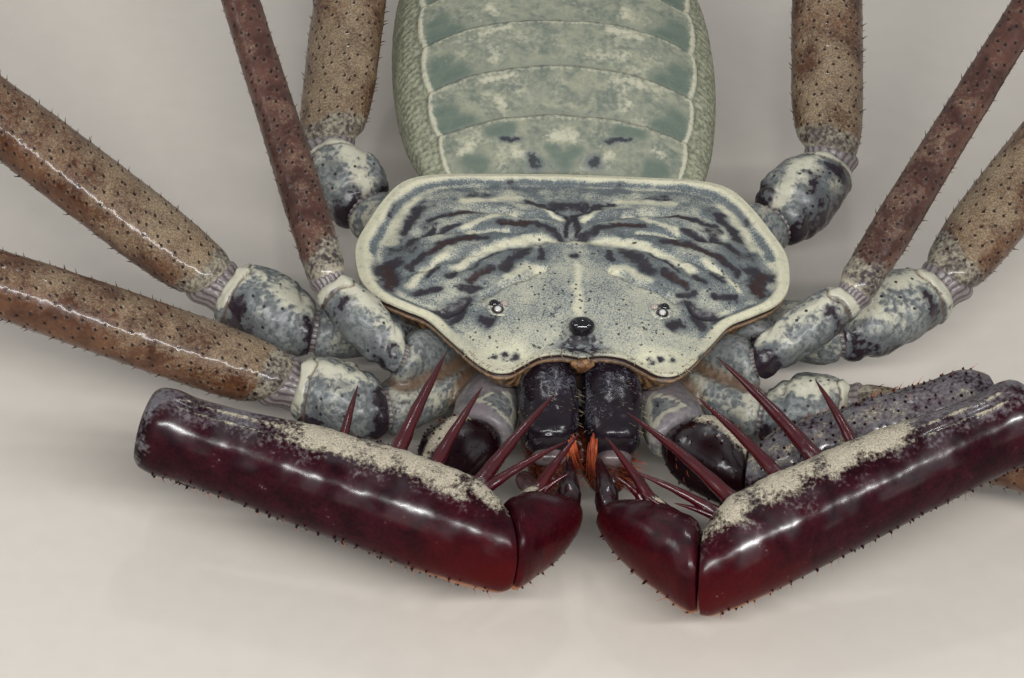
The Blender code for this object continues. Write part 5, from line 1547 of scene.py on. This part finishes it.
def make_arms():
    """Both grasping arms, with their granules and rust-coloured bristles."""
    stubble, granules = Coat(), Coat()
    for name in ARMS:
        ends, ways = arm_ways(name)
        order = list(ends)
        for place, part in enumerate(order[1:], 1):
            width, height = ARM_SIZES[part]
            # The elbow between femur and patella is square-cut, and nothing follows the tarsus
            before = None if part == "patella" else ways[order[place - 1]]
            after = None if part in ("femur", "tarsus") else ways[order[place + 1]]
            rows, columns = ARM_GRIDS[part]
            shell = limb(*ends[part], width, height, ARM_FORMS[part], before, after, rows, columns, 2.25)
            facing = 1 if shell.side[1] > 0 else -1
            inner = shell.across * facing
            relief = arm_marks(part, shell, inner)
            thorny = part in ("patella", "tibia")
            site_rows, site_columns = staggered(shell, 0.42 if thorny else 0.36, 71)
            if thorny:
                lower = (shell.upward < -0.45) & (inner < 0.8)
                kept = lower[site_rows, site_columns]
                site_rows, site_columns = site_rows[kept], site_columns[kept]
            shell.marks["granule"] = shell.near(shell.points[site_rows, site_columns])
            relief += 0.02 * hump(shell.marks["granule"], 0, 0.06)
            shell.push(relief * shell.clear_of_ends())
            pieces = [shell]
            for (arm, segment, level), thorns in ARM_THORNS.items():
                if (arm, segment) != (name, part):
                    continue
                start, end = (np.array(end) for end in ends[part])
                offset = shell.side * facing * width * THORN_INSET + (0, 0, height * level)
                for share, tip, thickness in thorns:
                    pieces.append(thorn(start + (end - start) * share + offset, tip, thickness))
            make_piece(f"arm_{name}_{part}", pieces, arm_lacquer, "maroon_palp", f"pedipalp_{name}_{part}")
            if part != "tarsus":
                random = np.random.default_rng(72)
                lean = ways[part] * 0.7 + np.array((0, -0.2, -0.2))
                chosen = random.random(len(site_rows)) < 0.5
                sizes = random.uniform(0.4, 1.2, chosen.sum())
                stubble.add(shell, site_rows[chosen], site_columns[chosen], lean, sizes)
                sizes = random.uniform(0.5, 1.1, len(site_rows))
                granules.add(shell, site_rows, site_columns, ways[part] * 0.3, sizes)
    grow("arm_stubble", stubble, rust_bristle, length=0.24, thickness=0.022, bend=0.06, seed=7)
    grow("arm_granules", granules, arm_lacquer, length=0.06, thickness=0.09, seed=8)


make_arms()

# Walking legs: three pairs of brown tubes, dusted grey above, with staggered sockets that each hold
# a short bristle. Pleated rings of soft skin fill the joints, and cream collars edge the thighs'
# roots. The feeler legs' thighs are made with them, so the line of their whips is worked out here.
# Thighs: (degrees from +X towards +Y, degrees up); the shins' turns are from +X too
THIGH_HEADINGS = {
    "leg_1_left": (53.5, 30), "leg_1_right": (109.4, 30), "leg_2_left": (-24, 1),
    "leg_2_right": (169.6, 14.7), "leg_3_left": (49.3, 22), "leg_3_right": (149.3, 22),
    "leg_4_left": (86.9, 20), "leg_4_right": (82.8, 20),
}
SHIN_TURNS = {
    "leg_2_left": -18, "leg_2_right": 197, "leg_3_left": 36, "leg_3_right": 149, "leg_4_left": 61,
    "leg_4_right": 124,
}
THIGH_LENGTHS = {"1": 22.0, "2": 15.5, "3": 17.0, "4": 15.0}
KNEE_LENGTH = 2.0
SHIN_LENGTHS = {"2": 15.5, "3": 17.0, "4": 19.0}
FOOT_LENGTHS = {"2": 6.6, "3": 7.2, "4": 7.6}
JOINT_OPENING = 0.85
FEELER_OPENING = 0.25
ANKLE_Z = 1.75
ANKLE_RADIUS = 0.4
FOOT_RADIUS = 0.34
FOOT_SINK = 0.06
FOOT_JOINTS = (0.42, 0.56, 0.72, 0.86)  # shares of the foot's length
LEG_SIZES = {"trochanter": (2.25, 2.0), "femur": (2.2, 1.9), "patella": (1.6, 1.5), "tibia": (1.25, 1.1)}
FEELER_SIZES = {"trochanter": (1.4, 1.4), "femur": (1.15, 1.15)}
THIGH_FORM = (
    (0.0, 0.62), (0.008, 0.7), (0.02, 0.8), (0.05, 0.88), (0.1, 0.955), (0.26, 1.01), (0.55, 0.96),
    (0.84, 0.8), (0.97, 0.78), (1.0, 0.62),
)
SHIN_FORM = ((0.0, 0.8), (0.012, 0.98), (0.04, 1.03), (0.3, 1.0), (0.7, 0.84), (0.97, 0.8), (1.0, 0.66))
SHORT_FORM = ((0.0, 0.66), (0.06, 0.8), (0.2, 0.95), (0.5, 1.03), (0.8, 0.95), (0.94, 0.82), (1.0, 0.68))
SLEEVE_FORM = ((0.0, 0.5), (0.2, 0.86), (0.5, 0.92), (0.8, 0.98), (1.0, 0.6))
SLEEVE_REACH = 0.42  # of a joint's soft ring, to each side of the joint
BRISTLE_CLEARANCE = 0.45  # height under which a leg's bristles would reach the floor
FEELER_LENGTHS = (36.0, 32.0)
FEELER_THICKNESS = (0.85, 0.6, 0.5)
FEELER_STEPS = 14
FEELER_TURNS = {"leg_1_left": (25, -95), "leg_1_right": (180, 280)}  # degrees at the knee, at the tip
LIE_START = 0.72  # share of its length from which a whip lies on the floor
TURN_POWER = 1.4
FALL_POWER = 1.7
ARCH = 0.75


def leg_finish():
    """Brown cuticle: pits with cream haloes, grey dust above, marbling at the root of the segment."""
    constants = {"Specular IOR Level": 0.22, "Coat Weight": 0.34, "Coat Roughness": 0.14}
    finish = Finish("leg_cuticle", constants)
    fine = finish.grain(0.12, 4.0)
    coarse = finish.grain(0.9, 4.0, 0.7)
    grit = finish.grain(0.05, 3.0)
    tone = (coarse * 0.65 + fine * 0.35).eased(0.3, 0.7)
    base = finish.mix(tone, (0.05, 0.017, 0.006), (0.14, 0.06, 0.024))
    violet = finish.mix(coarse.eased(0.3, 0.7), (0.034, 0.013, 0.012), (0.088, 0.04, 0.032))
    base = finish.mix(finish.mark("violet") * 0.8, base, violet)
    pit = finish.mark("pit")
    halo = (0.12 - pit + (grit - 0.5) * 0.3).eased(-0.02, 0.07)
    dust = finish.mark("dust") + (fine - 0.5) * 0.8 + (coarse - 0.5) * 0.9 + (grit - 0.5) * 0.5
    dust = dust.eased(0.3, 1.1)
    powder = finish.mix(grit.eased(0.3, 0.7), (0.155, 0.108, 0.068), (0.33, 0.26, 0.165))
    base = finish.mix(dust * 0.8, base, powder)
    spot = 0.05 + finish.mark("dust") * 0.5 + (coarse - 0.5) * 0.8 + (fine - 0.5) * 1.4
    spot = halo * spot.eased(0.0, 0.8)
    base = finish.mix(spot * 0.75 * (1 - finish.mark("violet") * 0.6), base, (0.31, 0.235, 0.15))
    tone = (coarse - 0.5) * 1.2 + (fine - 0.5) * 1.6 + 0.5
    marble = finish.mix(tone.eased(0.2, 0.9), (0.04, 0.03, 0.032), (0.32, 0.29, 0.215))
    base = finish.mix((finish.mark("root") + (fine - 0.5) * 0.6).eased(0.25, 0.9) * 0.85, base, marble)
    base = finish.mix(finish.mark("collar"), base, (0.42, 0.37, 0.27))
    base = finish.mix((0.06 - pit).eased(-0.018, 0.018) * 0.92, base, (0.012, 0.006, 0.005))
    rough = 0.26 + dust * 0.35 + fine * 0.1
    return finish.use(base, rough, fine * 0.25 + dust * grit + halo * 0.2, 0.03)


leg_cuticle = leg_finish()
trochanter_mottle = mottle_finish("trochanter_mottle", (0.44, 0.42, 0.325), 0.3)
joint_membrane = membrane_finish("joint_membrane", (0.082, 0.064, 0.065), (0.19, 0.16, 0.154), 0.3)
dark_bristle = bristle_finish("dark_bristle", (0.02, 0.011, 0.01), (0.09, 0.03, 0.015))


def heading(turn, rise):
    """Unit vector that points turn degrees from +X towards +Y and rise degrees up."""
    turn, rise = math.radians(turn), math.radians(rise)
    return np.array((math.cos(turn) * math.cos(rise), math.sin(turn) * math.cos(rise), math.sin(rise)))


def falling(turn, drop, length):
    """Unit vector of a length that falls by drop over its whole length."""
    return heading(turn, -math.degrees(math.asin(drop / length)))


def feeler_path(name, knee):
    """Points of a whip from the knee to its tip, in equal steps, and its first way."""
    total = sum(FEELER_LENGTHS)
    start_turn, end_turn = FEELER_TURNS[name]
    rest_z = FEELER_THICKNESS[1] / 2 - FOOT_SINK
    steps = 2 * FEELER_STEPS
    points = [np.array(knee, float)]
    for i in range(steps):
        t = (i + 0.5) / steps
        fall = max(0.0, 1 - t / LIE_START)
        z = rest_z + (knee[2] - rest_z) * fall**FALL_POWER * (1 + ARCH * (1 - fall))
        turn = math.radians(start_turn + (end_turn - start_turn) * t**TURN_POWER)
        drop = z - points[-1][2]
        reach = math.sqrt(max((total / steps) ** 2 - drop**2, 0.0))
        points.append(points[-1] + (math.cos(turn) * reach, math.sin(turn) * reach, drop))
    return np.array(points), unit(points[1] - points[0])


def wedge(shell, opening, away):
    """How far each point of a joint's end slides outwards, so that the joint gapes below and in front."""
    below = np.clip(0.5 - 0.5 * shell.upward, 0, 1)
    return opening * below[..., None] * shell.axis * away[..., None]


def joint_ring(place, way, width, height, opening=0.0, pleats=19):
    """Pleated sleeve of soft skin inside a joint; its pleats fan out where the joint gapes."""
    reach = way * SLEEVE_REACH
    sleeve = limb(place - reach, place + reach, width, height, SLEEVE_FORM, rows=24, columns=110)
    if opening:
        sleeve.points = sleeve.points + wedge(sleeve, opening, smooth_step(sleeve.along, 0.2, 1.0))
    turn = sleeve.around + 0.012 * clouds(sleeve.points, 0.5, 86)
    phase = turn * 2 * math.pi * pleats
    wave = np.sin(phase) + 0.4 * np.sin(2 * phase + 1.0)
    # This mark follows the pleats' relief, for their painted shading.
    sleeve.marks["fold"] = 0.5 + 0.45 * wave
    sleeve.push(0.018 * wave * sleeve.clear_of_ends(0.2, 0.9))
    return sleeve


def sink_sockets(shell, spacing, seed, depth, size=1.0):
    """Sinks staggered sockets into a shell, and notes the rows, columns and sizes of their bristles."""
    rows, columns = staggered(shell, spacing, seed)
    shell.marks["pit"] = shell.near(shell.points[rows, columns])
    collar = hump(shell.marks["pit"], 0.1, 0.04) * 0.5
    shell.push(depth * (collar - hump(shell.marks["pit"], 0, 0.05)))
    sizes = np.random.default_rng(seed).uniform(0.6, 1.3, len(rows)) * size
    clear = shell.points[rows, columns, 2] > BRISTLE_CLEARANCE
    shell.bristles = rows[clear], columns[clear], sizes[clear]


def plant(coat, shell, way):
    """Adds the bristles of a shell's sockets to a coat, leaning along the leg."""
    rows, columns, sizes = shell.bristles
    coat.add(shell, rows, columns, way * 0.9, sizes)


def segment_marks(shell, root=0.1, collar=0.0, dust=1.0, violet=0.0):
    """Marks that every brown leg segment carries."""
    noise = clouds(shell.points, 1.1, 81)
    near_root = 1 - smooth_step(shell.along, 0.1, 0.5)
    shell.marks["dust"] = np.clip(dust * (0.1 + 0.45 * shell.upward + 0.35 * near_root + 0.4 * noise), 0, 1)
    if root:
        shell.marks["root"] = 1 - smooth_step(shell.along + 0.03 * noise, root * 0.5, root)
    if collar:
        shell.marks["collar"] = hump(shell.along, collar, 0.004) * (0.8 + 0.3 * noise)
    shell.marks["violet"] = violet + 0 * noise
    shell.push((0.02 * noise + 0.006 * clouds(shell.points, 0.25, 82)) * shell.clear_of_ends())


def own_seed(name):
    """A seed of its own for each leg, from the letters of its name."""
    return sum(map(ord, name))


def make_trochanter(name, width, height, skins, opening):
    """Marbled segment between a hip and a thigh, with a ridge above and a cream lip at its end."""
    hip_way, way = directions(name)
    _, start, end = LIMBS[name]
    after = heading(*THIGH_HEADINGS[name])
    shell = limb(start, end, width, height, SHORT_FORM, hip_way, after, 80, 78, 2.2)
    noise = clouds(shell.points, 0.9, own_seed(name))
    turn = np.arctan2(shell.upward, shell.across)
    crest = hump(turn, math.pi / 2 - 0.25 * noise, 0.3)
    # The groove before the lip dips towards the joint's upper hinge
    bend = shell.along + 0.07 * crest - 0.03 * shell.upward + 0.012 * noise
    lip = smooth_step(bend, 0.88, 0.91)
    groove = hump(bend, 0.87, 0.01)
    root = 1 - smooth_step(bend, 0.1, 0.24)
    relief = 0.12 * noise + 0.03 * clouds(shell.points, 0.25, 84) + 0.03 * lip - 0.06 * groove
    relief += 0.13 * crest * smooth_step(shell.along, 0.3, 0.8) - 0.08 * hump(bend, 0.2, 0.05)
    shell.push(relief * shell.clear_of_ends(0.04, 0.96))
    shell.marks["pale"] = np.clip(0.16 + 0.3 * shell.upward + 0.5 * lip + 0.3 * crest, 0, 1)
    shell.marks["ink"] = 0.27 + 0.9 * clouds(shell.points, 0.8, 85) - 0.5 * lip - 0.3 * crest + 0.4 * root
    shell.marks["ink"] += 0.4 * hump(bend, 0.76, 0.05) * (1 - crest) - 0.25 * shell.upward
    shell.marks["crease"] = groove
    rows, columns = staggered(shell, 0.55, 87, 0.2, 0.84)
    chosen = np.random.default_rng(len(rows)).random(len(rows)) < 0.6
    shell.marks["pit"] = shell.near(shell.points[rows[chosen], columns[chosen]])
    make_piece(f"{name}_trochanter_shell", [shell], trochanter_mottle, "mottled_hip", f"{name}_trochanter")
    skins.append(joint_ring(start, unit(hip_way + way), width * 0.64, height * 0.64))
    skins.append(joint_ring(end, unit(way + after), width * 0.74, height * 0.74, opening))


def make_foot(ankle, toe, before, rows=110, columns=36):
    """Slender foot of five short joints that levels out on the floor."""
    t = np.linspace(0, 1, rows)[:, None]
    axis = unit(toe - ankle)
    centre = ankle + (toe - ankle) * t
    centre[:, 2] = toe[2] + (ankle[2] - toe[2]) * (1 - t[:, 0]) ** 1.5
    turn = once_round(columns)
    joints = sum(hump(t, place, 0.012) for place in FOOT_JOINTS)
    radius = ANKLE_RADIUS + (FOOT_RADIUS - ANKLE_RADIUS) * t
    radius = radius * (1 - 0.2 * joints) * np.minimum(1, 0.75 + 8 * t)
    ring = off_axis(*cross_ways(axis), radius * np.cos(turn), radius * np.sin(turn))
    shell = Shell(centre[:, None] + ring)
    slip = joint_slip(ring[0], axis, before, JOINT_GAP / 2)
    shell.points[0] = ankle + ring[0] + axis * slip[:, None]
    shell.lie()
    shell.axis, shell.upward = axis, np.sin(turn) + 0 * t
    return shell


def make_legs():
    """Three pairs of walking legs, the thighs of the feeler legs, and all their bristles."""
    coats = {"thigh": Coat(), "shin": Coat()}
    skins = []
    for name, (turn, rise) in THIGH_HEADINGS.items():
        pair = name.split("_")[1]
        feeler = pair == "1"
        seed = 100 + own_seed(name)
        thigh_way = heading(turn, rise)
        hip_joint = np.array(LIMBS[name][2])
        knee = hip_joint + thigh_way * THIGH_LENGTHS[pair]
        opening = FEELER_OPENING if feeler else JOINT_OPENING
        kit = FEELER_SIZES if feeler else LEG_SIZES
        make_trochanter(name, *kit["trochanter"], skins, opening)
        if feeler:
            knee_way = feeler_path(name, knee)[1]
        else:
            knee_way = heading((turn + SHIN_TURNS[name]) / 2, 1)
        sizes = kit["femur"]
        form = SHIN_FORM if feeler else THIGH_FORM
        thigh = limb(hip_joint, knee, *sizes, form, directions(name)[1], knee_way, 290, 84)
        thigh.points = thigh.points + wedge(thigh, opening, smooth_step(thigh.along, 0.12, 0.0))
        dust, violet = (0.45, 1.0) if feeler else (1.0, 0.3)
        segment_marks(thigh, root=0.075, collar=0.006, dust=dust, violet=violet)
        spacing, size = (0.38, 0.9) if feeler else (0.42, 1.0)
        sink_sockets(thigh, spacing, seed, 0.016, size)
        slot = "brown_feeler" if feeler else "brown_leg"
        make_piece(f"{name}_femur_shell", [thigh], leg_cuticle, slot, f"{name}_femur")
        plant(coats["thigh"], thigh, thigh_way)
        skins.append(joint_ring(knee, unit(thigh_way + knee_way), sizes[0] * 0.7, sizes[1] * 0.7))
        if feeler:
            continue
        below = knee + knee_way * KNEE_LENGTH
        shin_way = falling(SHIN_TURNS[name], below[2] - ANKLE_Z, SHIN_LENGTHS[pair])
        ankle = below + shin_way * SHIN_LENGTHS[pair]
        foot_way = falling(SHIN_TURNS[name], ankle[2] - FOOT_RADIUS + FOOT_SINK, FOOT_LENGTHS[pair])
        toe = ankle + foot_way * FOOT_LENGTHS[pair]
        cap = limb(knee, below, *LEG_SIZES["patella"], SHORT_FORM, thigh_way, shin_way, 60, 60)
        shin = limb(below, ankle, *LEG_SIZES["tibia"], SHIN_FORM, knee_way, foot_way, 220, 52)
        foot = make_foot(ankle, toe, shin_way)
        parts = (("patella", cap, 0.5, 0.3), ("tibia", shin, 0.5, 0.03), ("tarsus", foot, 0.4, 0))
        for part, shell, spacing, root in parts:
            segment_marks(shell, root=root, dust=0.6, violet=0.2)
            if part == "tarsus":
                shell.lie()
            sink_sockets(shell, spacing, seed + 1, 0.014)
            make_piece(f"{name}_{part}_shell", [shell], leg_cuticle, "brown_leg", f"{name}_{part}")
            plant(coats["shin"], shell, shell.axis)
        skins.append(joint_ring(below, unit(knee_way + shin_way), 1.1, 1.0))
        skins.append(joint_ring(ankle, unit(shin_way + foot_way), 0.75, 0.7))
    make_piece("joint_skins", skins, joint_membrane, "grey_underside")
    grow("thigh_bristles", coats["thigh"], dark_bristle,
         length=0.15, thickness=0.036, bend=0.03, seed=9)
    grow("shin_bristles", coats["shin"], dark_bristle,
         length=0.2, thickness=0.03, bend=0.04, seed=10)


make_legs()

# Feelers: the first legs' long whips, each of many short joints that thin out to a fine tip. They
# leave the knee almost level, sweep round and lie on the floor at the end.
ARTICLE_LENGTH = 0.75
FUZZ_CLEARANCE = 0.42  # height under which the fuzz would reach the floor


def whip(points, start_thickness, end_thickness, before, after, rows_per_mm=16, columns=14):
    """Shell of jointed tube along a path, pressed flat where it would go through the floor."""
    places = np.linspace(0, 1, len(points))
    length = np.linalg.norm(np.diff(points, axis=0), axis=-1).sum()
    share = np.linspace(0, 1, int(length * rows_per_mm))
    centre = read_curve(np.column_stack((places, points)), share)
    axis = unit(np.gradient(centre, axis=0))
    side, top = cross_ways(axis)
    turn = once_round(columns)
    phase = (share * length / ARTICLE_LENGTH % 1)[:, None]
    to_joint = np.minimum(phase, 1 - phase)
    notch = 1 - 0.16 * hump(to_joint, 0, 0.09) + 0.03 * np.sin(phase * math.pi)
    radius = (start_thickness + (end_thickness - start_thickness) * share[:, None]) / 2 * notch * 0.97
    ring = off_axis(side[:, None], top[:, None], radius * np.cos(turn), radius * np.sin(turn))
    shell = Shell(centre[:, None] + ring)
    for row, way, inward in ((0, before, 1), (-1, after, -1)):
        if way is not None:
            slip = joint_slip(ring[row], axis[row], way, inward * JOINT_GAP / 2)
            shell.points[row] = centre[row] + ring[row] + axis[row] * slip[:, None]
    shell.lie()
    flat = np.zeros_like(shell.along)
    shell.marks["violet"] = 0.75 - 0.3 * hump(to_joint, 0, 0.1) + flat
    shell.marks["collar"] = 0.55 * hump(phase, 0.88, 0.05) + flat
    shell.marks["dust"] = 0.25 + 0.25 * np.sin(turn) + flat
    shell.marks["pit"] = 1.0 + flat
    return shell


def make_feelers():
    """The two whips and their fine bristles."""
    fuzz = Coat()
    for name in FEELER_TURNS:
        thigh_way = heading(*THIGH_HEADINGS[name])
        path = feeler_path(name, np.array(LIMBS[name][2]) + thigh_way * THIGH_LENGTHS["1"])[0]
        split = round(len(path) * FEELER_LENGTHS[0] / sum(FEELER_LENGTHS))
        way_in, way_out = unit(path[split] - path[split - 1]), unit(path[split + 1] - path[split])
        thick, thin, tip = FEELER_THICKNESS
        for part, points, sizes, ways in (
            ("tibia", path[: split + 1], (thick, thin), (thigh_way, way_out)),
            ("tarsus", path[split:], (thin, tip), (way_in, None)),
        ):
            shell = whip(points, *sizes, *ways)
            make_piece(f"{name}_{part}_whip", [shell], leg_cuticle, "brown_feeler", f"{name}_{part}")
            rows, columns = staggered(shell, 0.45, 120 + len(part), 0.01, 0.99)
            raised = shell.points[rows, columns, 2] > FUZZ_CLEARANCE
            rows, columns = rows[raised], columns[raised]
            ahead = unit(np.gradient(shell.points.mean(axis=1), axis=0)[rows])
            fuzz.add(shell, rows, columns, ahead * 1.4)
    grow("feeler_bristles", fuzz, dark_bristle,
         length=0.2, thickness=0.028, bend=0.03, seed=11)


make_feelers()
